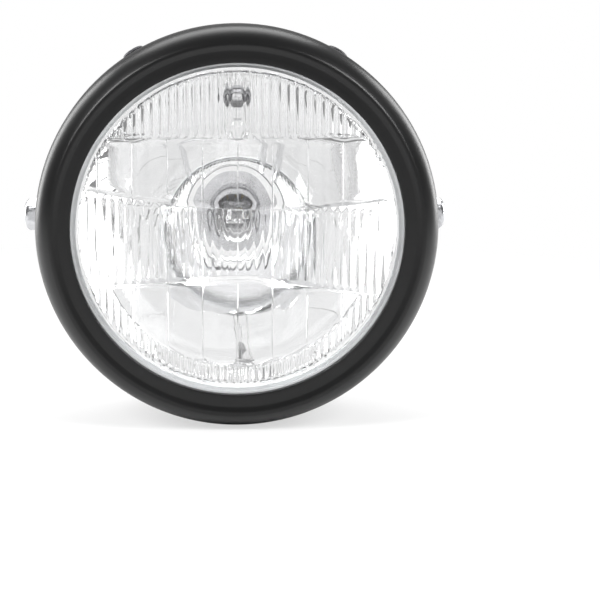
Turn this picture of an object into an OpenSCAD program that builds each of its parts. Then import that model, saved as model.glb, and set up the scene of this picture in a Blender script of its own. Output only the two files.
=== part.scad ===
/* [Lamp] */
// Outer diameter of the trim ring and of the bucket at the seam
lamp_d = 180; // [176:1:188]
// Depth of the bucket behind the seam
bucket_depth = 105.5; // [100:0.5:114]
// Depth of the trim ring in front of the seam
ring_depth = 26; // [25:0.5:29]
// Distance of the side bolts behind the seam
bolt_setback = 30; // [28:0.5:33]

/* [Bucket] */
// Sheet thickness of the bucket
bucket_t = 1.2; // [1:0.1:1.5]
// Radius of the rounded nose
nose_r = 39; // [35:0.5:43]
// Radius of the long flank
flank_r = 185; // [165:5:220]
// Radius of the shoulder between flank and skirt
shoulder_r = 43; // [38:0.5:48]
// Slope of the flank where it meets the nose, in degrees from the axis
flank_rear_angle = 61.4; // [58:0.2:64]
// Slope of the flank where it meets the shoulder, in degrees from the axis
flank_front_angle = 36; // [33:0.5:39]
// Taper of the skirt behind the seam, in degrees
skirt_angle = 4.6; // [3.6:0.1:5]
// Length of the stepped lip that the trim ring slips over
lip_len = 8; // [6:0.5:9]

/* [Cable opening] */
// Width of the opening across the lamp
opening_w = 92; // [70:1:96]
// Length of the opening along the flank
opening_len = 36.6; // [30:0.2:40]
// Distance of the opening's middle behind the seam
opening_setback = 70.4; // [67:0.2:74]
// Radius of the front corners
opening_front_r = 10; // [7:0.5:13]
// Radius of the rear corners
opening_rear_r = 17; // [12:0.5:18]
// How far the front corners reach past the middle tongue
opening_lobe = 3; // [1:0.5:4]

/* [Side pads and bolts] */
// Depth of each pad's floor inside the lamp's outer radius
pad_depth = 5.8; // [4.6:0.2:7]
// Radius of the pad's floor
pad_r = 18.5; // [16:0.5:20]
// Draft of the pad's recessed wall, in degrees
pad_recess_draft = 37; // [20:1:45]
// Draft of the pad's raised wall, in degrees
pad_boss_draft = 20; // [10:1:30]
// Outer diameter of the spacer bush
bush_d = 26; // [22:0.5:30]
// Thickness of the spacer bush
bush_t = 2.8; // [2:0.2:3.4]
// Thread diameter of the side bolts
bolt_d = 8; // [6:1:8]
// Flange diameter of the side bolts
bolt_flange_d = 17.9; // [15:0.1:20]
// Width across flats of the side bolts
bolt_af = 13; // [11:0.5:14]
// Height of the bolt head with its flange
bolt_head_h = 8; // [6:0.2:9]
// Length of the bolt's shank
bolt_len = 20; // [14:1:26]

/* [Trim ring] */
// Sheet thickness of the trim ring
ring_t = 1.2; // [1:0.1:1.4]
// Length of the ring's straight wall in front of the seam
ring_wall = 12; // [10:0.5:13]
// Width of the ring's rounded shoulder, from its outside to the crease round its face
crease_inset = 7; // [5.5:0.5:8]
// How far the ring's lip covers the edge of the lens
lens_lap = 4; // [3:0.5:5]
// How far the face is dished from the crease to the lens
face_dish = 0.7; // [0.2:0.1:1.2]
// Depth of the turned-in lip round the lens
ring_lip = 4; // [3.4:0.1:4.6]
// Gap between the ring's rear edge and the bucket's step
seam_gap = 0.5; // [0.3:0.1:0.8]
// Radial clearance between the ring and the bucket's lip
lip_clear = 0.3; // [0.2:0.05:0.5]
// Width of the small notch in the ring's rear edge
notch_w = 6; // [4:0.5:8]
// Depth of the notch
notch_depth = 3; // [2:0.5:4]
// Place of the notch, in degrees clockwise from the top
notch_angle = 5.5; // [4:0.5:8]

/* [Rim screws] */
// Place of each rim screw, in degrees from the top
screw_angle = 31.5; // [29:0.5:34]
// Distance of the rim screws behind the seam
screw_setback = 17.6; // [15:0.2:19]
// Thread diameter of the rim screws
screw_d = 5; // [4:0.5:5]
// Head diameter of the rim screws
screw_head_d = 10.5; // [9:0.5:12]
// Head height of the rim screws
screw_head_h = 2.5; // [2:0.1:3]
// Length of the screw's shank
screw_len = 9; // [7:0.5:11]

/* [Lens] */
// Distance of the lens's edge from the lamp's outer radius
lens_inset = 13.5; // [13:0.1:14]
// Rise of the dome from the edge of the opening to its middle
lens_rise = 6.5; // [5.5:0.1:7.5]
// Wall thickness of the lens
lens_t = 3; // [2.8:0.1:3.2]
// Depth of the moulded flutes
flute_depth = 0.9; // [0.5:0.1:1.1]
// Width of one column of the optical pattern
column_w = 15.4; // [14.6:0.2:16]
// Height of the upper line of the pattern above the middle
line_upper = 40.7; // [38:0.5:43]
// Height of the middle line at the centre
line_middle = 9.6; // [8:0.2:11]
// Height of the lower line at the centre
line_lower = -21.5; // [-24:0.5:-19]
// Width of the plain rim round the pattern, inside the trim ring
rim_band = 2.3; // [1.5:0.1:3]
// Width of the fluted band below the arc that ends the pattern
line_arc_inset = 8.9; // [7:0.1:11]

/* [Reflector] */
// Depth of the reflector's bowl
bowl_depth = 51; // [50:0.5:52.5]
// Distance of the reflector's mouth from the lens's edge
mouth_inset = 6.5; // [5.9:0.1:7.5]
// Sheet thickness of the reflector
reflector_t = 1; // [0.8:0.1:1.2]
// Thickness of the gasket under the trim ring
gasket_t = 1; // [0.8:0.1:1.4]
// Thickness of the seal between lens and reflector
seal_t = 0.8; // [0.6:0.1:1.2]
// Inner radius of the bulb collar
collar_r = 22.2; // [21.8:0.1:23]
// Depth of the collar behind the bowl
collar_len = 9; // [8:0.5:10]
// Distance of the parking bulb's hole from the reflector's mouth
park_inset = 13; // [11:0.5:16]
// Radius of the parking bulb's hole
park_hole_r = 6.8; // [6.4:0.1:7.4]

/* [Bulbs] */
// Radius of the headlamp bulb's flange
bulb_flange_r = 21.5; // [21:0.1:21.8]
// Radius of the headlamp bulb's glass
bulb_glass_r = 8.5; // [8:0.1:9.5]
// Length of the headlamp bulb's glass in front of its seat
bulb_glass_len = 48; // [44:0.5:50]
// Distance of the main filament in front of the bulb's seat
bulb_focus_len = 29.4; // [27:0.1:30]
// Wall of the bulb's glass
bulb_glass_t = 1; // [0.8:0.1:1.2]
// Radius of the headlamp bulb's base
bulb_base_r = 13.5; // [12.5:0.1:14]
// Radius of the parking bulb's glass
park_glass_r = 4.6; // [4.2:0.1:5]
// Length of the parking bulb's glass
park_glass_len = 22; // [18:0.5:24]

/* [Leads] */
// Diameter of the thin leads
lead_d = 2.6; // [2:0.1:2.8]
// Diameter of the black sleeve
sleeve_d = 10; // [8:0.5:11]
// Width of the square bulb socket
socket_w = 27; // [25:0.5:29]
// Depth of the bulb socket
socket_len = 16; // [14:0.5:18]

/* [Hidden] */

$fn = 96;
eps = 0.01;
SIDES = [["left", -1], ["right", 1]];

lamp_r = lamp_d / 2;
seam_z = bolt_setback;
front_z = seam_z + ring_depth;
tip_z = bolt_setback - bucket_depth;
lip_r = lamp_r - ring_t - lip_clear;
pad_x = lamp_r - pad_depth;
crease_r = lamp_r - crease_inset;
lens_r = lamp_r - lens_inset;
lens_open_r = lens_r - lens_lap;
rim_band_r = lens_open_r - rim_band;
line_arc_r = rim_band_r - line_arc_inset;
rim_middle_r = (rim_band_r + lens_r) / 2;
mouth_r = lens_r - mouth_inset;
seal_in_r = mouth_r + 1.5;
seal_gap = 0.1;
focal = mouth_r ^ 2 / (4 * bowl_depth);
park_r = mouth_r - park_inset;

// Centres and end angles of the three arcs of the bucket's outline, as [radius, height]
nose_end = 90 - flank_rear_angle;
flank_end = 90 - flank_front_angle;
shoulder_end = 90 - skirt_angle;
nose_c = [0, tip_z + nose_r];
flank_c = nose_c + arc_point(nose_r - flank_r, nose_end);
shoulder_c = flank_c + arc_point(flank_r - shoulder_r, flank_end);
skirt_start = shoulder_c + arc_point(shoulder_r, shoulder_end);
skirt_k = lamp_r / (skirt_start.x + (seam_z - skirt_start.y) * tan(skirt_angle));

// Heights of the stack behind the trim ring's lip
lip_rear_z = front_z - ring_lip;
lens_apex_z = lip_rear_z - gasket_t + lens_rise;
dome_r = (lens_open_r ^ 2 + lens_rise ^ 2) / (2 * lens_rise);
lens_edge_front_z = dome_z(lens_r, 0);
lens_edge_rear_z = lens_edge_front_z - lens_t;
flange_front_z = lens_edge_rear_z - seal_t;
flange_rear_z = flange_front_z - reflector_t;
vertex_z = flange_front_z - bowl_depth;
flange_r = lens_r + 1;
cup_r = flange_r + reflector_t;

// Ring shoulder: one arc, tangent to the straight wall, which ends at the crease
shoulder_dz = ring_depth - ring_wall;
shoulder_dr = lamp_r - crease_r;
ring_arc_r = (shoulder_dz ^ 2 + shoulder_dr ^ 2) / (2 * shoulder_dr);
ring_arc_end = asin(shoulder_dz / ring_arc_r);
crease_round = 0.5;

// Headlamp bulb: the seat at the rear of the collar, the flange behind it and the base behind that
collar_front_z = vertex_z + collar_r ^ 2 / (4 * focal);
seat_t = 1;
seat_z = collar_front_z - collar_len - 0.5;
seat_inner_r = 19;
flange_disc_t = 1.2;
bulb_rear_z = seat_z - seat_t - flange_disc_t;
lock_t = 1;
base_len = 8.8;
base_rear_z = bulb_rear_z - base_len;
plug_rear_z = base_rear_z - 4;
blade_len = 8;
blade_w = 8;
blade_t = 0.8;
socket_front_z = plug_rear_z - 0.3;
socket_rear_z = socket_front_z - socket_len;

// Parking bulb: its seat on the bowl and its direction, as [radius, height]
park_seat = [park_r, vertex_z + park_r ^ 2 / (4 * focal)];
park_tilt = atan(park_r / (2 * focal));
holder_rear = 16;

// Cable opening: its middle lies on the flank, and its cutter stands square to the flank there
opening_z = seam_z - opening_setback;
opening_mid_r = (flank_c.x + sqrt(flank_r ^ 2 - (opening_z - flank_c.y) ^ 2)) * skirt_k;
opening_normal = acos((flank_c.y - opening_z) / flank_r);

// Space left between tabs and bucket
tab_gap = 0.4;
tab_t = 1.5;
tab_reach = 26;
tab_span = 9;
tab_rear_z = seam_z - tab_reach;
screw_z = seam_z - screw_setback;
clip_span = 10;
clip_t = 1;
clip_reach = 4;
clip_fold = 6;
clip_round = 1.8;
CLIP_ANGLES = [35, 145, 215, 325];

// Depth below the skirt's skin at which a captive nut touches its tab
nut_seat = bucket_t + tab_gap + tab_t + 0.36;
nut_h = 4;

// White connector on the end of the sleeve
connector_w = 12;
connector_t = 8;
connector_len = 8.6;
chamber_depth = 5;
connector_gap = 0.2;

// Lens pattern
line_step = 0.35;
row_step = 0.06;
samples_per_column = 20;

// Routes of the leads and of the sleeve, for a lamp of this radius
route_lamp_r = 90;
SOCKET_EXIT_Y = -socket_rear_z;
LEAD_LOW = fitted([
    [-7, SOCKET_EXIT_Y, 3], [-7, 44.5, 3], [-5, 49, 4.5], [1, 52.5, 7], [9, 52, 9],
    [16, 47.5, 9.5], [20, 41.5, 9], [21, 38.4, 9.6], [21, 35.8, 11.2], [21, 33.1, 13.9]
]);
LEAD_HIGH = fitted([
    [0, SOCKET_EXIT_Y, -4], [0, 45, -4], [2.5, 50, -3.5], [9, 52.8, -1], [16.5, 50, 2],
    [21.5, 44.5, 4], [23.2, 39.6, 5], [23.2, 36.4, 6.4], [23.2, 33.8, 9], [23.2, 31, 11.8]
]);
LEAD_EARTH = fitted([
    [7, SOCKET_EXIT_Y, 3], [7, 44, 3], [8.6, 48, 3.5], [13.5, 49.6, 4.6], [20, 47, 6],
    [24.4, 42.4, 7.6], [25.4, 39, 9], [25.4, 35.8, 11.2], [25.4, 33.1, 13.9]
]);
SLEEVE = fitted([
    [23.2, 32.4, 13.2], [23.2, 29.6, 16], [22.2, 27.2, 20], [20, 26.4, 25.2], [17.5, 27.2, 30.2],
    [15, 29.6, 34.6], [13, 33.2, 38.4], [12, 37.9, 42], [12, 41.6, 45.45]
]);
LEAD_PARK = fitted([
    [1.8, -17.9, 70.5], [1.8, -15.2, 73.7], [2.2, -11.2, 76.6], [3, -5.4, 78.2], [4, 2, 77.8],
    [5.2, 10, 74.9], [6.8, 18, 69.8], [8.2, 25.4, 64], [9.8, 31.7, 59.3], [11.8, 35.6, 56.4],
    [14, 39.1, 53.8], [14, 41.6, 51.1]
]);
LEAD_PARK_EARTH = fitted([
    [-1.8, -17.9, 70.5], [-1.8, -15.2, 73.7], [-1.4, -11, 76.4], [-0.6, -4.6, 77.6], [0.4, 3, 76.8],
    [1.6, 11, 73.6], [3.2, 18.5, 68.4], [4.9, 25, 63], [6.4, 31, 58.6], [8.2, 35.2, 56],
    [10.4, 39.1, 53.8], [10.4, 41.6, 51.1]
]);

function fitted(route) = [for (p = route) [p.x, p.y, p.z * lamp_r / route_lamp_r]];
function arc_point(r, a) = [r * sin(a), -r * cos(a)];
function arc_points(c, r, from, to, n) = [for (i = [0 : n]) c + arc_point(r, from + (to - from) * i / n)];

// Outline of the bucket's skin, set in by t, from the tip to the front of the shoulder
function skin(t) = [
    for (p = concat(
        arc_points(nose_c, nose_r - t, 0, nose_end, 8),
        arc_points(flank_c, flank_r - t, nose_end + 2, flank_end, 10),
        arc_points(shoulder_c, shoulder_r - t, flank_end + 4, shoulder_end, 7)
    )) [p.x * skirt_k, p.y]
];
function skirt_r(z) = lamp_r - (seam_z - z) * tan(skirt_angle) * skirt_k;
function dome_z(x, y) = lens_apex_z - dome_r + sqrt(dome_r ^ 2 - x ^ 2 - y ^ 2);
function bowl(r) = [r, vertex_z + r ^ 2 / (4 * focal)];
function bowl_normal(r) = let (m = sqrt(1 + (r / (2 * focal)) ^ 2)) [-r / (2 * focal), 1] / m;
function reversed(list) = [for (i = [len(list) - 1 : -1 : 0]) list[i]];

// Turns the drawing so that local Z runs forward along the lamp and local Y runs up
module along_lamp() {
    rotate([90, 0, 0]) children();
}

// A strip bent round the lamp's axis, from its section as [radius, height] points
module bent_strip(section, middle, span) {
    along_lamp()
        rotate([0, 0, middle - span / 2])
            rotate_extrude(angle = span) polygon(section);
}

module flat_ring(r_in, r_out, z_low, z_high) {
    translate([0, 0, z_low])
        difference() {
            cylinder(r = r_out, h = z_high - z_low);
            translate([0, 0, -1]) cylinder(r = r_in, h = z_high - z_low + 2);
        }
}

// Solid form inside the bucket's skin, with the pads, set in by t
module bucket_form(t) {
    difference() {
        union() {
            rotate_extrude()
                polygon(concat(skin(t), [
                    [lamp_r - t, seam_z - 2 * t],
                    [lamp_r - t, seam_z - t],
                    [lip_r - t, seam_z - t],
                    [lip_r - t, seam_z + lip_len + t],
                    [0, seam_z + lip_len + t]
                ]));
            for (side = SIDES) pad_cone(side[1], t, -1);
        }
        for (side = SIDES) pad_cone(side[1], t, 1);
    }
}

// Cone on a pad's floor: way is 1 for the recess that opens outward, -1 for the raised boss
module pad_cone(side, t, way) {
    draft = way > 0 ? pad_recess_draft : pad_boss_draft;
    depth = way > 0 ? lamp_r - pad_x + 4 : 12;
    floor_r = pad_r + way * t;
    translate([side * (pad_x - t), 0, 0])
        rotate([0, side * way * 90, 0])
            cylinder(r1 = floor_r, r2 = floor_r + depth * tan(draft), h = depth);
}

// Outline of the cable opening: local Y runs towards the rear of the lamp
module opening_outline() {
    half = opening_w / 2;
    front = -opening_len / 2;
    rear_c = [half - opening_rear_r, -front - opening_rear_r];
    front_c = [half - opening_front_r, front - opening_lobe + opening_front_r];
    translate([-rear_c.x, front]) square([2 * rear_c.x, opening_len]);
    translate([-half, front_c.y]) square([opening_w, rear_c.y - front_c.y]);
    for (side = SIDES) {
        translate([side[1] * rear_c.x, rear_c.y]) circle(r = opening_rear_r);
        translate([side[1] * front_c.x, front_c.y]) circle(r = opening_front_r);
    }
}

// Places a screw's frame on the skirt: local Z points out of the metal
module at_screw(side) {
    along_lamp()
        rotate([0, 0, 90 - side * screw_angle])
            translate([skirt_r(screw_z), 0, screw_z])
                rotate([0, 90 + skirt_angle, 0])
                    children();
}

module bucket() {
    color([0.13, 0.13, 0.14])
        difference() {
            along_lamp()
                difference() {
                    bucket_form(0);
                    bucket_form(bucket_t);
                    translate([0, 0, seam_z + lip_len]) cylinder(r = lamp_r, h = lip_len);
                    translate([0, opening_mid_r, opening_z])
                        rotate([opening_normal - 180, 0, 0])
                            linear_extrude(opening_w, center = true) opening_outline();
                    for (side = SIDES)
                        translate([side[1] * (pad_x - 10), 0, 0])
                            rotate([0, side[1] * 90, 0]) cylinder(d = bolt_d + 0.4, h = 20);
                }
            for (side = SIDES) at_screw(side[1]) translate([0, 0, -6]) cylinder(d = screw_d + 0.5, h = 12);
        }
}

function ring_skin(t) = concat(
    [[lamp_r - t, seam_z + seam_gap]],
    [for (i = [0 : 12]) let (a = ring_arc_end * i / 12)
        [lamp_r - ring_arc_r + (ring_arc_r - t) * cos(a), seam_z + ring_wall + (ring_arc_r - t) * sin(a)]]
);

module trim_ring() {
    outer = ring_skin(0);
    inner = ring_skin(ring_t);
    color([0.12, 0.12, 0.13])
        along_lamp()
            difference() {
                rotate_extrude($fn = 180)
                    polygon(concat(
                        [for (i = [0 : len(outer) - 2]) outer[i]],
                        [
                            [crease_r + crease_round * 0.7, front_z - crease_round],
                            [crease_r - crease_round, front_z],
                            [lens_open_r + 1, front_z - face_dish],
                            [lens_open_r + 0.3, front_z - face_dish - 0.3],
                            [lens_open_r, front_z - face_dish - 1],
                            [lens_open_r, lip_rear_z],
                            [lens_open_r + ring_t, lip_rear_z],
                            [lens_open_r + ring_t, front_z - face_dish - ring_t]
                        ],
                        reversed(inner)
                    ));
                rotate([0, 0, 90 - notch_angle])
                    translate([lamp_r - 4, -notch_w / 2, seam_z]) cube([8, notch_w, notch_depth + seam_gap]);
            }
}

// Height of each line of the pattern over the lens's width
function middle_line(x) = line_middle + 5.5 * (x / 66) ^ 2 - 2.4 * (x / 66);
function lower_line(x) = line_lower - 8.5 * max(x - 5, 0) / 61 - 3.6 * max(-x, 0) / 66;
function arc_line(x) = abs(x) < line_arc_r ? -sqrt(line_arc_r ^ 2 - x ^ 2) : 0;
function half_chord(r, x) = sqrt(max(r ^ 2 - x ^ 2, 0));

// Convex ribs of the given width, with sharp valleys between them
function ribs(x, width, depth) = depth * abs(sin(180 * x / width));
function relief(x, band) =
    band == 0 ? ribs(x, column_w / 4, flute_depth)
    : band == 1 ? ribs(x, column_w, flute_depth * 0.6)
    : band == 2 ? ribs(x, column_w / 4, flute_depth)
    : band == 3 ? ribs(x, column_w, flute_depth * 0.5)
    : ribs(x, column_w / 5, flute_depth * 0.9);

// The rows that cross one column of points, as [height, depth of the relief]
function pattern_rows(x) =
    let (
        top = half_chord(rim_band_r, x),
        lower = lower_line(x),
        arc = min(arc_line(x), lower),
        lines = [-top, arc, lower, middle_line(x), line_upper, top]
    )
    concat(
        [[-top, 0]],
        [for (band = [0 : 4]) for (k = [0 : 2])
            let (low = lines[band] + line_step, high = lines[band + 1] - line_step)
            [low + (high - low) * k / 2, relief(x, band)]],
        [[top, 0]]
    );
function ordered_rows(x) =
    let (
        rows = pattern_rows(x), n = len(rows), middle = (n - 1) / 2,
        top = half_chord(rim_band_r, x), rim = half_chord(rim_middle_r, x)
    )
    concat(
        [[-rim - row_step * (middle + 1), 0]],
        [for (i = [0 : n - 1]) [min(max(rows[i][0], -top), top) + row_step * (i - middle), rows[i][1]]],
        [[rim + row_step * (middle + 1), 0]]
    );

module lens() {
    wide = rim_band_r;
    steps = floor(wide / column_w * samples_per_column);
    pitch = column_w / samples_per_column;
    ends = [for (i = [5 : -1 : 1]) lens_r * sin(90 - 13 * i / 5)];
    half_xs = concat([for (i = [1 : steps]) if (i * pitch < ends[0] - 0.4) i * pitch], ends);
    xs = concat([for (x = reversed(half_xs)) -x], [0], half_xs);
    n = len(xs);
    front_rows = 8;
    rear_inner = len(ordered_rows(0));
    per_column = front_rows + rear_inner;
    points = concat(
        [for (x = xs) let (h = half_chord(lens_r, x)) each concat(
            [for (k = [0 : front_rows - 1])
                let (y = -h * cos(180 * k / (front_rows - 1))) [x, y, dome_z(x, y)]],
            [for (row = ordered_rows(x)) [x, row[0], dome_z(x, row[0]) - lens_t + row[1]]]
        )],
        [for (x = xs) let (h = half_chord(lens_r, x)) each [
            [x, -h, dome_z(x, h) - lens_t], [x, h, dome_z(x, h) - lens_t]
        ]],
        [[-lens_r, 0, dome_z(lens_r, 0)], [-lens_r, 0, dome_z(lens_r, 0) - lens_t],
            [lens_r, 0, dome_z(lens_r, 0)], [lens_r, 0, dome_z(lens_r, 0) - lens_t]]
    );
    edge_0 = n * per_column;
    tips = edge_0 + 2 * n;
    function front(i, k) = i * per_column + k;
    function rear(i, k) = k == 0 ? edge_0 + 2 * i
        : k == rear_inner + 1 ? edge_0 + 2 * i + 1
        : i * per_column + front_rows + k - 1;
    last_rear = rear_inner + 1;
    faces = concat(
        [for (i = [0 : n - 2]) for (k = [0 : front_rows - 2]) each [
            [front(i, k), front(i + 1, k + 1), front(i + 1, k)],
            [front(i, k), front(i, k + 1), front(i + 1, k + 1)]
        ]],
        [for (i = [0 : n - 2]) for (k = [0 : last_rear - 1]) each [
            [rear(i, k), rear(i + 1, k), rear(i + 1, k + 1)],
            [rear(i, k), rear(i + 1, k + 1), rear(i, k + 1)]
        ]],
        [for (i = [0 : n - 2]) each [
            [front(i, 0), front(i + 1, 0), rear(i + 1, 0)],
            [front(i, 0), rear(i + 1, 0), rear(i, 0)],
            [front(i, front_rows - 1), rear(i + 1, last_rear), front(i + 1, front_rows - 1)],
            [front(i, front_rows - 1), rear(i, last_rear), rear(i + 1, last_rear)]
        ]],
        [for (k = [0 : front_rows - 2]) each [
            [tips, front(0, k + 1), front(0, k)],
            [tips + 2, front(n - 1, k), front(n - 1, k + 1)]
        ]],
        [for (k = [0 : last_rear - 1]) each [
            [tips + 1, rear(0, k), rear(0, k + 1)],
            [tips + 3, rear(n - 1, k + 1), rear(n - 1, k)]
        ]],
        [
            [tips, front(0, 0), rear(0, 0)], [tips, rear(0, 0), tips + 1],
            [tips, rear(0, last_rear), front(0, front_rows - 1)], [tips, tips + 1, rear(0, last_rear)],
            [tips + 2, rear(n - 1, 0), front(n - 1, 0)], [tips + 2, tips + 3, rear(n - 1, 0)],
            [tips + 2, front(n - 1, front_rows - 1), rear(n - 1, last_rear)],
            [tips + 2, rear(n - 1, last_rear), tips + 3]
        ]
    );
    color([0.85, 0.9, 0.93, 0.45]) along_lamp() polyhedron(points, faces, convexity = 6);
}

module trim_gasket() {
    r_in = lens_open_r + 0.4;
    color([0.08, 0.08, 0.08])
        along_lamp()
            rotate_extrude()
                polygon([
                    [r_in, lip_rear_z], [lens_r, lip_rear_z],
                    [lens_r, dome_z(lens_r, 0) + seal_gap], [r_in, dome_z(r_in, 0) + seal_gap]
                ]);
}

module lens_seal() {
    color([0.1, 0.1, 0.1])
        along_lamp()
            rotate_extrude()
                polygon([
                    [seal_in_r, flange_front_z], [lens_r, flange_front_z],
                    [lens_r, lens_edge_rear_z - seal_gap], [seal_in_r, dome_z(seal_in_r, 0) - lens_t - seal_gap]
                ]);
}

module reflector() {
    steps = 22;
    r_first = collar_r;
    front = [for (i = [0 : steps]) bowl(r_first + (mouth_r - r_first) * i / steps)];
    rear = [
        for (i = [0 : steps])
            let (r = r_first + reflector_t * 1.2 + (mouth_r - r_first - reflector_t * 1.2) * i / steps)
            bowl(r) - reflector_t * bowl_normal(r)
    ];
    color([0.8, 0.81, 0.83])
        difference() {
            along_lamp()
                rotate_extrude()
                    polygon(concat(
                        front,
                        [
                            [flange_r, flange_front_z], [flange_r, lens_edge_front_z - 0.6],
                            [cup_r, lens_edge_front_z - 0.6], [cup_r, flange_rear_z],
                            [mouth_r + 0.4, flange_rear_z]
                        ],
                        reversed([for (i = [0 : steps - 1]) rear[i]]),
                        [
                            [collar_r + reflector_t, seat_z - seat_t], [seat_inner_r, seat_z - seat_t],
                            [seat_inner_r, seat_z], [collar_r, seat_z]
                        ]
                    ));
            at_park() translate([0, 0, -10]) cylinder(r = park_hole_r, h = 20);
        }
}

// Places the parking bulb's frame: local Z points into the bowl along its normal
module at_park() {
    along_lamp()
        translate([0, park_seat.x, park_seat.y])
            rotate([park_tilt, 0, 0])
                children();
}

// Points of the ring's inner skin that a foot lies against, front one first
function foot_points(count) = let (skin = ring_skin(ring_t)) [for (i = [count : -1 : 1]) skin[i]];
// The same points on the foot's other side
function foot_back(count, t) = [for (p = reversed(foot_points(count))) [p.x - t, p.y - t * 0.3]];

module retaining_clip(angle) {
    arm_z = flange_rear_z;
    foot_r = lamp_r - ring_t;
    color([0.62, 0.63, 0.65])
        bent_strip(concat(
            foot_points(4),
            [
                [foot_r - clip_round * 0.2, arm_z - clip_fold * 0.9], [foot_r - clip_round, arm_z - clip_fold],
                [foot_r - clip_round - clip_fold * 0.5, arm_z - clip_fold * 0.6],
                [cup_r + clip_t, arm_z - clip_t], [cup_r - clip_reach, arm_z - clip_t],
                [cup_r - clip_reach, arm_z], [cup_r + clip_t * 1.4, arm_z],
                [foot_r - clip_round - clip_fold * 0.4, arm_z - clip_fold * 0.6 + clip_t * 1.1],
                [foot_r - clip_round, arm_z - clip_fold + clip_t * 1.4]
            ],
            foot_back(4, clip_t)
        ), angle, clip_span);
}

module rim_tab(side) {
    foot_r = lamp_r - ring_t;
    under_r = lip_r - bucket_t - lip_clear;
    rear_r = skirt_r(tab_rear_z) - bucket_t - tab_gap;
    bend_z = seam_z + lip_len + 0.6;
    kink_z = screw_z;
    kink_r = min(under_r, skirt_r(kink_z) - bucket_t - tab_gap);
    color([0.62, 0.63, 0.65])
        difference() {
            bent_strip(concat(
                foot_points(4),
                [
                    [foot_r, bend_z + 0.6], [under_r, bend_z], [kink_r, kink_z],
                    [rear_r, tab_rear_z], [rear_r - tab_t, tab_rear_z],
                    [kink_r - tab_t, kink_z], [under_r - tab_t, bend_z + 0.6]
                ],
                foot_back(4, tab_t)
            ), 90 - side * screw_angle, tab_span);
            at_screw(side) translate([0, 0, -6]) cylinder(d = screw_d + 0.4, h = 12);
        }
}

module rim_nut(side) {
    color([0.66, 0.66, 0.68])
        at_screw(side)
            translate([0, 0, -nut_seat - nut_h])
                difference() {
                    cylinder(d = 8 / cos(30), h = nut_h, $fn = 6);
                    translate([0, 0, -1]) cylinder(d = screw_d + 0.1, h = nut_h + 2);
                }
}

module rim_screw(side) {
    seat = 0.2;
    dome = (screw_head_d ^ 2 / 4 + screw_head_h ^ 2) / (2 * screw_head_h);
    slot_w = 1.2;
    color([0.09, 0.09, 0.1])
        at_screw(side)
            difference() {
                union() {
                    translate([0, 0, -screw_len]) cylinder(d = screw_d - 0.1, h = screw_len + seat + eps);
                    intersection() {
                        translate([0, 0, seat]) cylinder(d = screw_head_d, h = screw_head_h);
                        translate([0, 0, seat + screw_head_h - dome * 1.25]) sphere(r = dome * 1.25);
                    }
                }
                for (turn = [0, 90])
                    rotate([0, 0, turn])
                        translate([-2.6, -slot_w / 2, seat + screw_head_h - 1.6]) cube([5.2, slot_w, 4]);
            }
}

module rim_hook() {
    foot_r = lamp_r - ring_t;
    under_r = lip_r - bucket_t - lip_clear;
    bend_z = seam_z + lip_len + 0.6;
    hook_z = seam_z - 4;
    hook_r = skirt_r(hook_z) - bucket_t - 0.3;
    color([0.62, 0.63, 0.65])
        bent_strip(concat(
            foot_points(4),
            [
                [foot_r, bend_z + 0.6], [under_r, bend_z], [under_r, hook_z],
                [hook_r, hook_z], [hook_r, hook_z - tab_t], [under_r - tab_t, hook_z - tab_t],
                [under_r - tab_t, bend_z + 0.6]
            ],
            foot_back(4, tab_t)
        ), 270, 14);
}

// Places a side bolt's frame on its pad's floor: local Z points out of the lamp
module at_bolt(side) {
    translate([side * pad_x, 0, 0]) rotate([0, side * 90, 0]) children();
}

module side_bush(side) {
    color([0.07, 0.07, 0.075])
        at_bolt(side)
            difference() {
                rotate_extrude()
                    polygon([
                        [0, 0], [bush_d / 2, 0], [bush_d / 2, bush_t - 0.5],
                        [bush_d / 2 - 0.5, bush_t], [0, bush_t]
                    ]);
                translate([0, 0, -1]) cylinder(d = bolt_d + 0.4, h = bush_t + 2);
            }
}

module side_bolt(side) {
    flange_h = 1.5;
    hex_r = bolt_af / 2 / cos(30);
    color([0.78, 0.78, 0.8])
        at_bolt(side)
            translate([0, 0, bush_t])
                union() {
                    translate([0, 0, -bolt_len]) cylinder(d = bolt_d - 0.1, h = bolt_len + 1);
                    rotate_extrude()
                        polygon([
                            [0, 0], [bolt_flange_d / 2, 0], [bolt_flange_d / 2, flange_h * 0.55],
                            [bolt_flange_d / 2 - 0.5, flange_h], [hex_r - 0.6, flange_h + 1.5], [0, flange_h + 1.5]
                        ]);
                    intersection() {
                        cylinder(r = hex_r, h = bolt_head_h, $fn = 6);
                        rotate_extrude()
                            polygon([
                                [0, 0], [hex_r, 0], [hex_r, bolt_head_h - 2.2], [bolt_af / 2 - 0.2, bolt_head_h - 0.9],
                                [bolt_af / 2 - 1.6, bolt_head_h - 0.2], [bolt_af / 2 - 2.4, bolt_head_h], [0, bolt_head_h]
                            ]);
                    }
                }
}

module side_nut(side) {
    h = 6.5;
    color([0.66, 0.66, 0.68])
        at_bolt(side)
            translate([0, 0, -bucket_t - h])
                difference() {
                    union() {
                        cylinder(d = 13 / cos(30), h = h, $fn = 6);
                        translate([0, 0, h - 1.2]) cylinder(r = 9, h = 1.2);
                    }
                    translate([0, 0, -1]) cylinder(d = bolt_d + 0.1, h = h + 2);
                }
}

// Outline of the headlamp bulb's glass, set in by t, from its rear to its tip
function glass_outline(t) =
    let (r = bulb_glass_r - t, rear = seat_z - seat_t + 3, tip = seat_z - seat_t + bulb_glass_len)
    concat(
        [[0, rear + t * 2], [r, rear + t * 2]],
        [for (i = [0 : 8]) [r * cos(90 * i / 8), tip - bulb_glass_r * 0.8 + (bulb_glass_r * 0.8 - t) * sin(90 * i / 8)]]
    );

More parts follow.
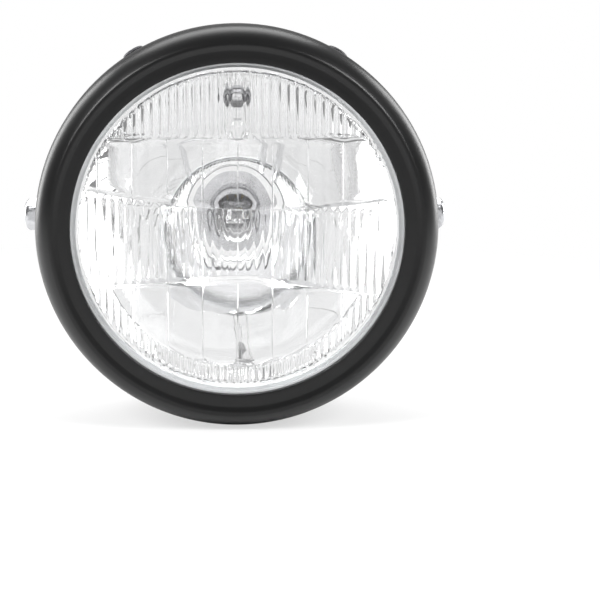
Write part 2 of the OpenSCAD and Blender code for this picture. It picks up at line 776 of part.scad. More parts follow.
module bulb_glass() {
    color([0.9, 0.93, 0.95, 0.4])
        along_lamp()
            difference() {
                rotate_extrude() polygon(glass_outline(0));
                rotate_extrude() polygon(glass_outline(bulb_glass_t));
            }
}

// Two wound filaments on their posts and the dished shield under the front one
module bulb_filaments() {
    post_rear_z = seat_z - seat_t + 3 + 2 * bulb_glass_t;
    focus_z = seat_z - seat_t + bulb_focus_len;
    post_r = 0.6;
    post_x = 3.4;
    shield_r = 5;
    color([0.55, 0.55, 0.56])
        along_lamp() {
            for (side = SIDES)
                translate([side[1] * post_x, 0, post_rear_z])
                    cylinder(r = post_r, h = focus_z + 9 - post_rear_z);
            for (z = [focus_z, focus_z + 8])
                translate([-post_x, 0, z]) rotate([0, 90, 0]) cylinder(r = 0.45, h = 2 * post_x);
            translate([0, 0, focus_z + 2])
                rotate([0, 0, 180])
                    rotate_extrude(angle = 180)
                        polygon([[shield_r, 0], [shield_r + 0.6, 0], [shield_r + 0.6, 5], [shield_r, 5]]);
            translate([post_x, -0.4, focus_z + 3]) cube([shield_r + 0.3 - post_x, 0.8, 2]);
        }
}

module bulb_base() {
    color([0.72, 0.72, 0.74])
        along_lamp()
            union() {
                flat_ring(8.9, 11.5, seat_z - seat_t - eps, seat_z - seat_t + 5.5);
                translate([0, 0, bulb_rear_z]) cylinder(r = bulb_flange_r, h = flange_disc_t);
                translate([0, 0, seat_z - seat_t - eps]) cylinder(r = 11.5, h = 3 + eps);
                translate([0, 0, base_rear_z]) cylinder(r = bulb_base_r, h = base_len + eps);
                translate([0, 0, plug_rear_z]) cylinder(r = bulb_base_r - 0.8, h = base_rear_z - plug_rear_z + eps);
            }
}

module bulb_blades() {
    color([0.8, 0.78, 0.7])
        along_lamp()
            translate([0, 0, plug_rear_z - blade_len]) {
                translate([-blade_w / 2, 7.6, 0]) cube([blade_w, blade_t, blade_len]);
                for (side = SIDES)
                    translate([side[1] * 8 - blade_t / 2, -blade_w / 2 - 1, 0]) cube([blade_t, blade_w, blade_len]);
            }
}

module bulb_lock_ring() {
    r_out = collar_r + reflector_t + 0.3 + lock_t;
    color([0.68, 0.69, 0.71])
        along_lamp()
            difference() {
                union() {
                    flat_ring(bulb_base_r + 1.2, r_out, bulb_rear_z - lock_t, bulb_rear_z);
                    flat_ring(r_out - lock_t, r_out, bulb_rear_z - lock_t, seat_z + 3);
                }
                for (turn = [0, 120, 240])
                    rotate([0, 0, turn + 30])
                        translate([r_out - 3, -3, seat_z - 0.5]) cube([6, 6, 6]);
            }
}

module dust_boot() {
    lock_out = collar_r + reflector_t + 0.3 + lock_t;
    lip_in = lock_out + 0.3;
    back_z = bulb_rear_z - lock_t - 0.3;
    neck_in = bulb_base_r + 0.2;
    t = 1.8;
    color([0.06, 0.06, 0.06])
        along_lamp()
            rotate_extrude()
                polygon([
                    [lip_in, seat_z + 3], [lip_in + t + 0.6, seat_z + 3], [lip_in + t + 0.6, seat_z + 1],
                    [lip_in + t, seat_z + 0.4], [lip_in + t, back_z - 0.6], [lip_in + t - 1.2, back_z - t],
                    [neck_in + 6, back_z - t], [neck_in + t + 1.4, back_z - t - 1.4], [neck_in + t, base_rear_z + 0.6],
                    [neck_in, base_rear_z + 0.6], [neck_in, back_z], [lip_in, back_z]
                ]);
}

module bulb_socket() {
    body_h = socket_len;
    slot_t = blade_t + 0.8;
    slot_w = blade_w + 1.2;
    r = 3;
    color([0.1, 0.1, 0.11])
        along_lamp()
            translate([0, 0, socket_rear_z])
                difference() {
                    linear_extrude(body_h)
                        difference() {
                            union() {
                                square([socket_w - 2 * r, socket_w], center = true);
                                square([socket_w, socket_w - 2 * r], center = true);
                                for (sx = [-1, 1])
                                    for (sy = [-1, 1])
                                        translate([sx, sy] * (socket_w / 2 - r)) circle(r = r);
                            }
                            for (side = SIDES)
                                translate([side[1] * socket_w / 2, -socket_w / 2 + 4]) square([3, 2.4], center = true);
                        }
                    translate([-slot_w / 2, 8 - slot_t / 2, body_h - 11]) cube([slot_w, slot_t, 12]);
                    for (side = SIDES)
                        translate([side[1] * 8 - slot_t / 2, -slot_w / 2 - 1, body_h - 11])
                            cube([slot_t, slot_w, 12]);
                }
}

module park_holder() {
    color([0.12, 0.12, 0.12])
        at_park()
            difference() {
                union() {
                    translate([0, 0, -holder_rear]) cylinder(r = 6.2, h = holder_rear + 2);
                    translate([0, 0, -holder_rear - 1.5]) cylinder(r = 5, h = 2);
                    translate([0, 0, -reflector_t - 2.6]) cylinder(r = park_hole_r + 2.4, h = 2);
                }
                translate([0, 0, -4]) cylinder(r = park_glass_r + 0.1, h = 8);
            }
}

module park_bulb() {
    color([0.9, 0.93, 0.95, 0.5])
        at_park()
            rotate_extrude()
                polygon(concat(
                    [[0, -3.9], [park_glass_r, -3.9]],
                    [for (i = [0 : 8])
                        [park_glass_r * cos(90 * i / 8), park_glass_len - park_glass_r * (1 - sin(90 * i / 8))]]
                ));
}

// Directions along a route: each point looks from the one before it to the one after it
function unit(v) = v / norm(v);
function heading(route, i) =
    let (n = len(route))
    unit(route[min(i + 1, n - 1)] - route[max(i - 1, 0)]);
function level(d) = abs(d.z) > 0.9 ? unit(cross(d, [1, 0, 0])) : unit(cross(d, [0, 0, 1]));

// Round tube along a route, one ring at each of its points
module tube(route, d, sides) {
    n = len(route);
    points = [for (i = [0 : n - 1])
        let (h = heading(route, i), u = level(h), v = cross(h, u))
        each [for (k = [0 : sides - 1])
            let (a = 360 * k / sides) route[i] + d / 2 * (cos(a) * u + sin(a) * v)]];
    faces = concat(
        [[for (k = [0 : sides - 1]) k]],
        [for (i = [0 : n - 2]) for (k = [0 : sides - 1])
            let (a = i * sides + k, b = i * sides + (k + 1) % sides) each [
                [a, a + sides, b + sides],
                [a, b + sides, b]
            ]],
        [[for (k = [sides - 1 : -1 : 0]) (n - 1) * sides + k]]
    );
    polyhedron(points, faces, convexity = 4);
}

module lead_low() {
    color([0.85, 0.85, 0.84]) tube(LEAD_LOW, lead_d, 8);
}

module lead_high() {
    color([0.15, 0.28, 0.6]) tube(LEAD_HIGH, lead_d, 8);
}

module lead_earth() {
    color([0.08, 0.08, 0.08]) tube(LEAD_EARTH, lead_d, 8);
}

module lead_park() {
    color([0.35, 0.2, 0.13]) tube(LEAD_PARK, lead_d, 8);
}

module lead_park_earth() {
    color([0.07, 0.07, 0.07]) tube(LEAD_PARK_EARTH, lead_d, 8);
}

module harness_sleeve() {
    color([0.09, 0.09, 0.1]) tube(SLEEVE, sleeve_d, 12);
}

// Places the connector's frame on the sleeve's end: local Z runs on along the sleeve
module at_connector() {
    n = len(SLEEVE);
    way = SLEEVE[n - 1] - SLEEVE[n - 2];
    translate(SLEEVE[n - 1])
        rotate([-atan2(way.y, way.z), 0, 0])
            translate([0, 0, connector_gap]) children();
}

// Places the four chambers of the connector, at their floor
module at_chambers() {
    for (sx = [-1, 1])
        for (sy = [-1, 1])
            translate([sx * connector_w / 4, sy * connector_t / 4, connector_len - chamber_depth]) children();
}

module harness_connector() {
    wall = 0.6;
    chamber = [connector_w / 2 - 2 * wall, connector_t / 2 - 2 * wall];
    color([0.86, 0.88, 0.92])
        at_connector()
            difference() {
                union() {
                    translate([-connector_w / 2, -connector_t / 2, 0])
                        cube([connector_w, connector_t, connector_len]);
                    translate([-2.5, connector_t / 2 - eps, 2]) cube([5, 1.2, 5]);
                }
                at_chambers()
                    translate([-chamber.x / 2, -chamber.y / 2, 0]) cube([chamber.x, chamber.y, chamber_depth + 1]);
            }
}

module connector_pins() {
    color([0.78, 0.68, 0.4])
        at_connector()
            at_chambers() translate([-1.1, -0.35, 0]) cube([2.2, 0.7, chamber_depth - 0.8]);
}

bucket();
trim_ring();
lens();
trim_gasket();
lens_seal();
reflector();
for (i = [0 : 3])
    retaining_clip(CLIP_ANGLES[i]);
for (side = SIDES) {
    rim_tab(side[1]);
    rim_nut(side[1]);
    rim_screw(side[1]);
    side_bolt(side[1]);
    side_bush(side[1]);
    side_nut(side[1]);
}
rim_hook();
bulb_glass();
bulb_base();
bulb_blades();
bulb_filaments();
bulb_lock_ring();
dust_boot();
bulb_socket();
park_bulb();
park_holder();
lead_low();
lead_high();
lead_earth();
lead_park();
lead_park_earth();
harness_sleeve();
harness_connector();
connector_pins();
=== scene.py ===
"""Looks of a round motorcycle headlight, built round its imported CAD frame.

The lamp faces -Y, +Z is up and +X is to the right for someone who looks at its front. The lamp's sizes are
in millimetres, as in the part's source, and are turned into metres where a mesh is made. The studio and the
scales of the finishes are in metres.
"""

import logging
import math
from dataclasses import dataclass, field
from enum import Enum
from typing import Callable, Iterable, Sequence

import bmesh
import bpy
from mathutils import Matrix, Vector


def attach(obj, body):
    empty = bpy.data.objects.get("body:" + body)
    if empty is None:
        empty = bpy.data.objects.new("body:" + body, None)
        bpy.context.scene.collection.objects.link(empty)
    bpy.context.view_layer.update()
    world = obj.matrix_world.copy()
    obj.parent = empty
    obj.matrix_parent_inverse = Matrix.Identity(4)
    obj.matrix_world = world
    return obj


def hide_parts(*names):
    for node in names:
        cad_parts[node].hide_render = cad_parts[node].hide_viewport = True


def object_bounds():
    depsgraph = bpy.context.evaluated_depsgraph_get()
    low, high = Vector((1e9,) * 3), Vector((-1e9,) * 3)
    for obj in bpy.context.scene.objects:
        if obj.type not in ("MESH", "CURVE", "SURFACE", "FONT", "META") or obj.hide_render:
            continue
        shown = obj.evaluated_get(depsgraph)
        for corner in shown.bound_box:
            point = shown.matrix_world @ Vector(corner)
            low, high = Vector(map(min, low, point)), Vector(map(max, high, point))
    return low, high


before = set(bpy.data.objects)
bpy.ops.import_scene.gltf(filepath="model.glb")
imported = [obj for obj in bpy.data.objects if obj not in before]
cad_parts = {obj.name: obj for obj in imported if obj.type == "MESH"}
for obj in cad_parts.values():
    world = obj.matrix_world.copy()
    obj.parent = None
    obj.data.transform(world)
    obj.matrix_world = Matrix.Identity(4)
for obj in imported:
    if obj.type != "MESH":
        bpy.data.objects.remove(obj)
cad_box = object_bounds()

LOG = logging.getLogger("headlight")
MM = 0.001
BODY = "root"
SHARP = 32.0
SMOOTH = 50.0
LOOK = "look_"

Point2 = tuple[float, float]
Point3 = tuple[float, float, float]
Colour = tuple[float, float, float]
Settings = dict[str, object]
Values = dict[str | int, object]
Mesh = bpy.types.Mesh
Material = bpy.types.Material
Node = bpy.types.Node
Piece = bpy.types.Object
Socket = bpy.types.NodeSocket


class Value:
    """A shader socket that takes part in Python expressions."""

    def __init__(self, shader: "Shader", socket: Socket) -> None:
        """Keeps the socket and the shader that it belongs to."""
        self.shader = shader
        self.socket = socket

    def math(self, operation: str, *others: "Value | float", first: float | None = None) -> "Value":
        """Adds a Math node.

        Args:
            operation: the node's operation.
            others: the further operands.
            first: a number that comes before this value, for the reflected operators.

        Returns:
            The node's result.
        """
        operands: list[Value | float] = [self, *others]
        if first is not None:
            operands.insert(0, first)
        node = self.shader.node("ShaderNodeMath", {"operation": operation}, dict(enumerate(operands)))
        return Value(self.shader, node.outputs[0])

    def __add__(self, other: "Value | float") -> "Value":
        """This value plus the other."""
        return self.math("ADD", other)

    __radd__ = __add__

    def __mul__(self, other: "Value | float") -> "Value":
        """This value times the other."""
        return self.math("MULTIPLY", other)

    __rmul__ = __mul__

    def __sub__(self, other: "Value | float") -> "Value":
        """This value less the other."""
        return self.math("SUBTRACT", other)

    def __rsub__(self, other: float) -> "Value":
        """The other less this value."""
        return self.math("SUBTRACT", first=other)

    def clamped(self) -> "Value":
        """This value held between 0 and 1."""
        return self.math("MAXIMUM", 0.0).math("MINIMUM", 1.0)

    def stepped(self, low: float, high: float) -> "Value":
        """A smooth step.

        Args:
            low: the value that gives 0.
            high: the value that gives 1.

        Returns:
            The stepped value.
        """
        node = self.shader.node(
            "ShaderNodeMapRange", {"interpolation_type": "SMOOTHSTEP"},
            {"Value": self, "From Min": low, "From Max": high},
        )
        return Value(self.shader, node.outputs[0])


class Shader:
    """A material's node tree, with one method for any node."""

    def __init__(self, name: str, world: bool = False) -> None:
        """Makes an empty material or world.

        Args:
            name: its name.
            world: whether it is a world.
        """
        self.material = (bpy.data.worlds if world else bpy.data.materials).new(f"{LOOK}{name}")
        self.material.use_nodes = True
        self.tree = self.material.node_tree
        self.tree.nodes.clear()

    def node(self, kind: str, settings: Settings | None = None, values: Values | None = None) -> Node:
        """Adds any node.

        Args:
            kind: the node's type.
            settings: its settings, set first.
            values: the number, colour or link of each socket, by name or place.

        Returns:
            The node.
        """
        node = self.tree.nodes.new(kind)
        for name, setting in (settings or {}).items():
            setattr(node, name, setting)
        for name, value in (values or {}).items():
            if isinstance(value, Value):
                self.tree.links.new(value.socket, node.inputs[name])
            elif isinstance(value, Socket):
                self.tree.links.new(value, node.inputs[name])
            elif isinstance(value, tuple) and len(value) == 3 and node.inputs[name].type == "RGBA":
                node.inputs[name].default_value = (*value, 1.0)
            else:
                node.inputs[name].default_value = value
        return node

    def place(self) -> Socket:
        """The point on the piece, in metres in the row frame."""
        return self.node("ShaderNodeTexCoord").outputs["Object"]

    def noise(self, scale: float, detail: float = 2.0, stretch: Point3 = (1.0, 1.0, 1.0)) -> Value:
        """Adds a noise.

        Args:
            scale: how many spots fit in a metre.
            detail: how many finer layers it has.
            stretch: the factor on each axis.

        Returns:
            The noise, about 0.5 on average.
        """
        mapping = self.node("ShaderNodeMapping", {}, {"Vector": self.place(), "Scale": stretch})
        values = {"Vector": mapping.outputs[0], "Scale": scale, "Detail": detail}
        return Value(self, self.node("ShaderNodeTexNoise", {}, values).outputs["Fac"])

    def mixed(self, share: Value, low: Colour, high: Colour) -> Socket:
        """Mixes two colours.

        Args:
            share: how much of the second colour shows.
            low: the first colour.
            high: the second colour.

        Returns:
            The mixed colour's socket.
        """
        return self.node("ShaderNodeMix", {"data_type": "RGBA"}, {0: share, 6: low, 7: high}).outputs[2]

    def bump(self, height: Value, strength: float, distance: float) -> Socket:
        """Adds a Bump node.

        Args:
            height: the height, from 0 to 1.
            strength: the share of the relief that shows.
            distance: the relief's depth in metres.

        Returns:
            The new normal's socket.
        """
        values = {"Height": height, "Strength": strength, "Distance": distance}
        return self.node("ShaderNodeBump", {}, values).outputs[0]

    def surface(self, values: Values) -> Material:
        """Adds the Principled shader with those values and returns the finished material."""
        self.finish(self.node("ShaderNodeBsdfPrincipled", {}, values))
        return self.material

    def seen(self) -> Value:
        """Tells what the camera sees from what only lights other things.

        Returns:
            1 for rays straight from the camera or through glass, and 0 for others.
        """
        rays = self.node("ShaderNodeLightPath").outputs
        straight, through = (Value(self, rays[f"Is {kind} Ray"]) for kind in ("Camera", "Transmission"))
        return straight.math("MAXIMUM", through)

    def blend(self, share: "Value | Socket", low: Node, high: Node) -> Node:
        """Mixes two shaders by that share of the second."""
        return self.node("ShaderNodeMixShader", {}, {0: share, 1: low.outputs[0], 2: high.outputs[0]})

    def finish(self, shader: Node, kind: str = "ShaderNodeOutputMaterial") -> None:
        """Joins a shader to the output of a material, or to another kind of output."""
        self.node(kind, {}, {"Surface": shader.outputs[0]})


@dataclass(frozen=True)
class Coat:
    """What every finish has."""

    name: str
    colour: Colour
    roughness: float

    def toned(self, factor: float) -> Colour:
        """The colour times that factor."""
        return tuple(c * factor for c in self.colour)


@dataclass(frozen=True)
class Paint(Coat):
    """Satin stove enamel on sheet steel, with soft clouds, orange peel and a fine grain."""

    grain: float
    cloud_scale: float = 28.0
    peel_scale: float = 520.0
    fine_scale: float = 2600.0
    dark: float = 0.78
    cloud_dull: float = 0.07
    fine_dull: float = 0.02
    gloss: float = 0.3
    relief: float = 0.00005

    def material(self) -> Material:
        """The finish as a material.

        Returns:
            The material.
        """
        s = Shader(self.name)
        cloud = s.noise(self.cloud_scale, 3.0)
        fine = s.noise(self.fine_scale)
        peel = s.noise(self.peel_scale)
        dull = (cloud - 0.5) * self.cloud_dull + (fine - 0.5) * self.fine_dull
        return s.surface({
            "Base Color": s.mixed(cloud, self.toned(self.dark), self.colour),
            "Roughness": self.roughness + dull,
            "Specular IOR Level": self.gloss,
            "Normal": s.bump(fine * 0.55 + peel * 0.45, self.grain, self.relief),
        })


@dataclass(frozen=True)
class Metal(Coat):
    """Bare or plated metal, with fine marks that run in one direction or none."""

    stretch: Point3 = (1.0, 1.0, 1.0)
    marks: float = 0.12
    stain: float = 0.25
    cloud_scale: float = 60.0
    line_scale: float = 1500.0
    stained: Point2 = (0.35, 0.75)
    line_dull: float = 0.16
    cloud_dull: float = 0.1
    relief: float = 0.00003

    def material(self) -> Material:
        """The finish as a material.

        Returns:
            The material.
        """
        s = Shader(self.name)
        cloud = s.noise(self.cloud_scale, 3.0)
        lines = s.noise(self.line_scale, 3.0, self.stretch)
        dull = (lines - 0.5) * self.line_dull + (cloud - 0.5) * self.cloud_dull
        return s.surface({
            "Base Color": s.mixed(cloud.stepped(*self.stained), self.colour, self.toned(1 - self.stain)),
            "Metallic": 1.0,
            "Roughness": (self.roughness + dull).clamped(),
            "Normal": s.bump(lines, self.marks, self.relief),
        })


@dataclass(frozen=True)
class Mirror(Coat):
    """Bright coating on the reflector's bowl, with broad swirls and fine marks."""

    swirl_scale: float = 34.0
    fine_scale: float = 420.0
    stretch: Point3 = (1.0, 0.25, 1.0)
    dark: float = 0.93
    clouded: Point2 = (0.3, 0.8)
    fine_dull: float = 0.012
    wave: float = 0.1
    relief: float = 0.0002

    def material(self) -> Material:
        """The finish as a material.

        Returns:
            The material.
        """
        s = Shader(self.name)
        swirl = s.noise(self.swirl_scale)
        fine = s.noise(self.fine_scale, 2.0, self.stretch)
        return s.surface({
            "Base Color": s.mixed(swirl.stepped(*self.clouded), self.colour, self.toned(self.dark)),
            "Metallic": 1.0,
            "Roughness": (self.roughness + (fine - 0.5) * self.fine_dull).clamped(),
            "Normal": s.bump(swirl * 0.8 + fine * 0.2, self.wave, self.relief),
        })


@dataclass(frozen=True)
class Plastic(Coat):
    """Moulded plastic or rubber, with soft clouds and a fine grain."""

    grain_scale: float = 1400.0
    grain: float = 0.15
    gloss: float = 0.5
    cloud_scale: float = 90.0
    dark: float = 0.82
    cloud_dull: float = 0.12
    relief: float = 0.00008

    def material(self) -> Material:
        """The finish as a material.

        Returns:
            The material.
        """
        s = Shader(self.name)
        cloud = s.noise(self.cloud_scale, 3.0)
        fine = s.noise(self.grain_scale)
        return s.surface({
            "Base Color": s.mixed(cloud, self.toned(self.dark), self.colour),
            "Roughness": (self.roughness + (cloud - 0.5) * self.cloud_dull).clamped(),
            "Specular IOR Level": self.gloss,
            "Normal": s.bump(fine, self.grain, self.relief),
        })


@dataclass(frozen=True)
class Glass(Coat):
    """Clear glass that lets the lamps' light through to what it covers."""

    ripple: float
    bend: float = 1.5
    wave_scale: float = 70.0
    film_scale: float = 240.0
    film: float = 0.985
    relief: float = 0.0006
    shadow: Colour = (0.94, 0.95, 0.95)

    def material(self) -> Material:
        """The finish as a material.

        Returns:
            The material.
        """
        s = Shader(self.name)
        wave = s.noise(self.wave_scale, 1.0)
        glass = s.node("ShaderNodeBsdfPrincipled", {}, {
            "Base Color": s.mixed(s.noise(self.film_scale), self.colour, self.toned(self.film)),
            "Roughness": self.roughness,
            "Transmission Weight": 1.0,
            "IOR": self.bend,
            "Normal": s.bump(wave, self.ripple, self.relief),
        })
        clear = s.node("ShaderNodeBsdfTransparent", {}, {"Color": self.shadow})
        s.finish(s.blend(s.node("ShaderNodeLightPath").outputs["Is Shadow Ray"], glass, clear))
        return s.material


class Finish(Enum):
    """The finishes of the lamp's pieces."""

    BUCKET = Paint("bucket_enamel", (0.009, 0.009, 0.0094), 0.38, 0.2)
    RING = Paint("ring_enamel", (0.005, 0.005, 0.0052), 0.33, 0.1)
    LENS = Glass("lens_glass", (1.0, 1.0, 1.0), 0.0, 0.2)
    BULB_GLASS = Glass("bulb_glass", (1.0, 1.0, 1.0), 0.0, 0.1)
    BOWL = Mirror("bowl_coating", (0.97, 0.972, 0.975), 0.012)
    BRIGHT_ZINC = Metal("bright_zinc", (0.5, 0.505, 0.52), 0.2, (1.0, 1.0, 1.0), 0.2, 0.2)
    SPRING = Metal("spring_steel", (0.5, 0.5, 0.52), 0.34, (1.0, 0.1, 1.0))
    PLATED = Metal("plated_steel", (0.62, 0.62, 0.64), 0.3)
    BULB_METAL = Metal("bulb_metal", (0.7, 0.7, 0.72), 0.26)
    BRASS = Metal("tinned_brass", (0.72, 0.62, 0.4), 0.3)
    WIRE = Metal("nickel_wire", (0.86, 0.86, 0.87), 0.12, (1.0, 1.0, 1.0), 0.1, 0.1)
    BLACK_SCREW = Metal("blackened_steel", (0.05, 0.05, 0.055), 0.38, (1.0, 1.0, 1.0), 0.3, 0.1)
    RUBBER = Plastic("black_rubber", (0.02, 0.02, 0.02), 0.62, 900.0, 0.3, 0.35)
    SEALANT = Plastic("clear_sealant", (0.66, 0.67, 0.68), 0.5, 900.0, 0.1)
    BLACK_PLASTIC = Plastic("black_plastic", (0.02, 0.02, 0.022), 0.42)
    WHITE_NYLON = Plastic("white_nylon", (0.78, 0.8, 0.84), 0.4, 900.0, 0.1)
    SLEEVE = Plastic("vinyl_sleeve", (0.025, 0.025, 0.03), 0.36, 300.0, 0.25)
    LEAD_WHITE = Plastic("lead_white", (0.7, 0.7, 0.68), 0.38, 300.0, 0.15)
    LEAD_BLUE = Plastic("lead_blue", (0.05, 0.13, 0.42), 0.38, 300.0, 0.15)
    LEAD_BLACK = Plastic("lead_black", (0.02, 0.02, 0.02), 0.38, 300.0, 0.15)
    LEAD_BROWN = Plastic("lead_brown", (0.2, 0.075, 0.035), 0.38, 300.0, 0.15)

    @property
    def material(self) -> Material:
        """The finish's material, made the first time it is asked for."""
        return bpy.data.materials.get(f"{LOOK}{self.value.name}") or self.value.material()


def smoothed(a: float, b: float, k: float) -> float:
    """The smaller of two lengths, with a rounded change over k between them."""
    h = max(k - abs(a - b), 0.0) / k
    return min(a, b) - h * h * k / 4


def ramp(t: float) -> float:
    """A smooth step from 0 to 1."""
    t = min(max(t, 0.0), 1.0)
    return t * t * (3 - 2 * t)


@dataclass(frozen=True)
class Axis:
    """A place and a direction that round forms are turned about, in millimetres."""

    origin: Vector
    along: Vector
    side: Vector

    def point(self, radius: float, height: float, angle: float) -> Vector:
        """A point by its place round the axis.

        Args:
            radius: its distance from the axis.
            height: its height along the axis.
            angle: its angle in degrees, from the axis's side.

        Returns:
            The point.
        """
        up = self.along.cross(self.side)
        a = math.radians(angle)
        return self.origin + self.along * height + (self.side * math.cos(a) + up * math.sin(a)) * radius

    def beside(self, offset: float) -> "Axis":
        """The same axis moved to its side by that offset."""
        return Axis(self.origin + self.side * offset, self.along, self.side)


LAMP = Axis(Vector((0, 0, 0)), Vector((0, -1, 0)), Vector((1, 0, 0)))


@dataclass
class Form:
    """A mesh in the making: its points in millimetres and its faces."""

    points: list[Vector] = field(default_factory=list)
    faces: list[tuple[int, ...]] = field(default_factory=list)

    def grid(self, rows: Sequence[Sequence[Vector]], round_rows: bool, round_columns: bool) -> None:
        """Adds a grid of points with its faces.

        Args:
            rows: the rows of points, all of one length.
            round_rows: whether the last row joins the first.
            round_columns: whether the last point of a row joins the first.
        """
        start, n, m = len(self.points), len(rows), len(rows[0])
        for row in rows:
            self.points.extend(row)
        for i in range(n if round_rows else n - 1):
            for j in range(m if round_columns else m - 1):
                a, b = start + i * m, start + (i + 1) % n * m
                self.faces.append((a + j, a + (j + 1) % m, b + (j + 1) % m, b + j))

    def turn(self, section: Sequence[Point2], axis: Axis, segments: int, closed: bool = True) -> None:
        """Adds a section turned about an axis.

        Args:
            section: its points as (radius, height).
            axis: the axis.
            segments: the number of steps round the axis.
            closed: whether the section is a closed loop.
        """
        step = 360 / segments
        rows = [[axis.point(r, h, step * k) for k in range(segments)] for r, h in section]
        self.grid(rows, closed, True)

    def object(self, name: str, finish: Finish, crease: float = 30.0, weld: float = 0.0005) -> Piece:
        """Makes the mesh object.

        Args:
            name: the piece's name.
            finish: its finish.
            crease: the angle in degrees from which an edge is sharp.
            weld: the distance in millimetres at which points join.

        Returns:
            The object, not yet on a body.
        """
        mesh = bpy.data.meshes.new(name)
        mesh.from_pydata([p * MM for p in self.points], [], self.faces)
        tidy(mesh, weld)
        obj = place_object(name, mesh)
        shade(obj, finish, crease)
        return obj


def place_object(name: str, data: bpy.types.ID) -> Piece:
    """Adds an object to the scene.

    Args:
        name: its name.
        data: its mesh, lamp or camera.

    Returns:
        The object.
    """
    obj = bpy.data.objects.new(name, data)
    bpy.context.scene.collection.objects.link(obj)
    return obj


def turned(
    name: str, finish: Finish, section: Sequence[Point2], axis: Axis, segments: int, crease: float = 30.0,
    closed: bool = True,
) -> Piece:
    """Makes a piece by turning a section about an axis.

    Args:
        name: the piece's name.
        finish: its finish.
        section: the section's points as (radius, height).
        axis: the axis.
        segments: the number of steps round the axis.
        crease: the angle in degrees from which an edge is sharp.
        closed: whether the section is a closed loop.

    Returns:
        The object, not yet on a body.
    """
    form = Form()
    form.turn(section, axis, segments, closed)
    return form.object(name, finish, crease)


def drill(radius: float, low: float, high: float, axis: Axis, segments: int, finish: Finish) -> Piece:
    """Makes the solid that cuts a round hole.

    Args:
        radius: the hole's radius.
        low: the height on the axis at which it starts.
        high: the height at which it ends.
        axis: the hole's axis.
        segments: the number of steps round it.
        finish: the finish of the hole's wall.

    Returns:
        The cutting solid.
    """
    section = [(0, low), (radius, low), (radius, high), (0, high)]
    return turned("hole_cutter", finish, section, axis, segments, closed=False)


def tidy(mesh: Mesh, weld: float) -> None:
    """Joins points that lie together and turns all faces outward.

    Args:
        mesh: the mesh.
        weld: the distance in millimetres at which points join.
    """
    work = bmesh.new()
    work.from_mesh(mesh)
    bmesh.ops.remove_doubles(work, verts=work.verts, dist=weld * MM)
    bmesh.ops.dissolve_degenerate(work, edges=work.edges, dist=weld * MM * 0.1)
    bmesh.ops.recalc_face_normals(work, faces=work.faces)
    work.to_mesh(mesh)
    work.free()


def shade(obj: Piece, finish: Finish, crease: float) -> None:
    """Gives a piece its finish and smooth shading.

    Args:
        obj: the piece.
        finish: its finish.
        crease: the angle in degrees from which an edge is sharp.
    """
    obj.data.materials.clear()
    obj.data.materials.append(finish.material)
    obj.data.shade_smooth()
    obj.data.set_sharp_from_angle(angle=math.radians(crease))


def bake(obj: Piece) -> None:
    """Turns a piece's modifier into mesh.

    Args:
        obj: the piece.
    """
    new = bpy.data.meshes.new_from_object(obj.evaluated_get(bpy.context.evaluated_depsgraph_get()))
    obj.modifiers.clear()
    old, obj.data = obj.data, new
    bpy.data.meshes.remove(old)
    new.name = obj.name


def cut(obj: Piece, tools: Iterable[Piece], finish: Finish, crease: float = SHARP) -> None:
    """Takes other objects away from a piece, deletes them and shades the piece again.

    Args:
        obj: the piece that is cut.
        tools: the objects that cut it.
        finish: the piece's finish.
        crease: the angle in degrees from which an edge is sharp.
    """
    for tool in tools:
        modifier = obj.modifiers.new("cut", "BOOLEAN")
        modifier.operation, modifier.solver, modifier.object = "DIFFERENCE", "EXACT", tool
        bake(obj)
        bpy.data.objects.remove(tool)
    shade(obj, finish, crease)


def soften(obj: Piece, width: float, segments: int = 2, angle: float = 40.0) -> None:
    """Rounds the edges of a piece.

    Args:
        obj: the piece.
        width: the rounding's width in millimetres.
        segments: the number of faces across it.
        angle: the angle in degrees from which an edge is rounded.
    """
    modifier = obj.modifiers.new("soften", "BEVEL")
    modifier.width, modifier.segments = width * MM, segments
    modifier.limit_method, modifier.angle_limit = "ANGLE", math.radians(angle)
    modifier.harden_normals = False
    bake(obj)


def prism(outline: Sequence[Point2], low: float, high: float, place: Matrix) -> Form:
    """An outline drawn out to a prism.

    Args:
        outline: its points, in order.
        low: the height at which it starts.
        high: the height at which it ends.
        place: the matrix that puts it in its place, in millimetres.

    Returns:
        The form.
    """
    form, n = Form(), len(outline)
    form.points = [place @ Vector((x, y, z)) for z in (low, high) for x, y in outline]
    form.faces = [tuple(range(n)), tuple(range(n, 2 * n))]
    form.faces += [(i, (i + 1) % n, n + (i + 1) % n, n + i) for i in range(n)]
    return form


def placed(origin: Vector, x: Vector, y: Vector, z: Vector) -> Matrix:
    """The matrix that puts a drawing's origin and its three directions in their place."""
    return Matrix.Translation(origin) @ Matrix(((*x, 0), (*y, 0), (*z, 0), (0, 0, 0, 1))).transposed()


def block(name: str, finish: Finish, x: Point2, y: Point2, z: Point2, place: Matrix) -> Piece:
    """Makes a block.

    Args:
        name: its name.
        finish: its finish.
        x: where it starts and ends across.
        y: where it starts and ends the other way across.
        z: where it starts and ends in height.
        place: the matrix that puts it in its place, in millimetres.

    Returns:
        The block, not yet on a body.
    """
    outline = [(x[0], y[0]), (x[1], y[0]), (x[1], y[1]), (x[0], y[1])]
    return prism(outline, *z, place).object(name, finish)


def join(obj: Piece, other: Piece) -> None:
    """Adds another object's mesh to a piece and deletes that object.

    Args:
        obj: the piece.
        other: the object that is added.
    """
    work = bmesh.new()
    work.from_mesh(obj.data)
    work.from_mesh(other.data)
    work.to_mesh(obj.data)
    work.free()
    bpy.data.objects.remove(other)


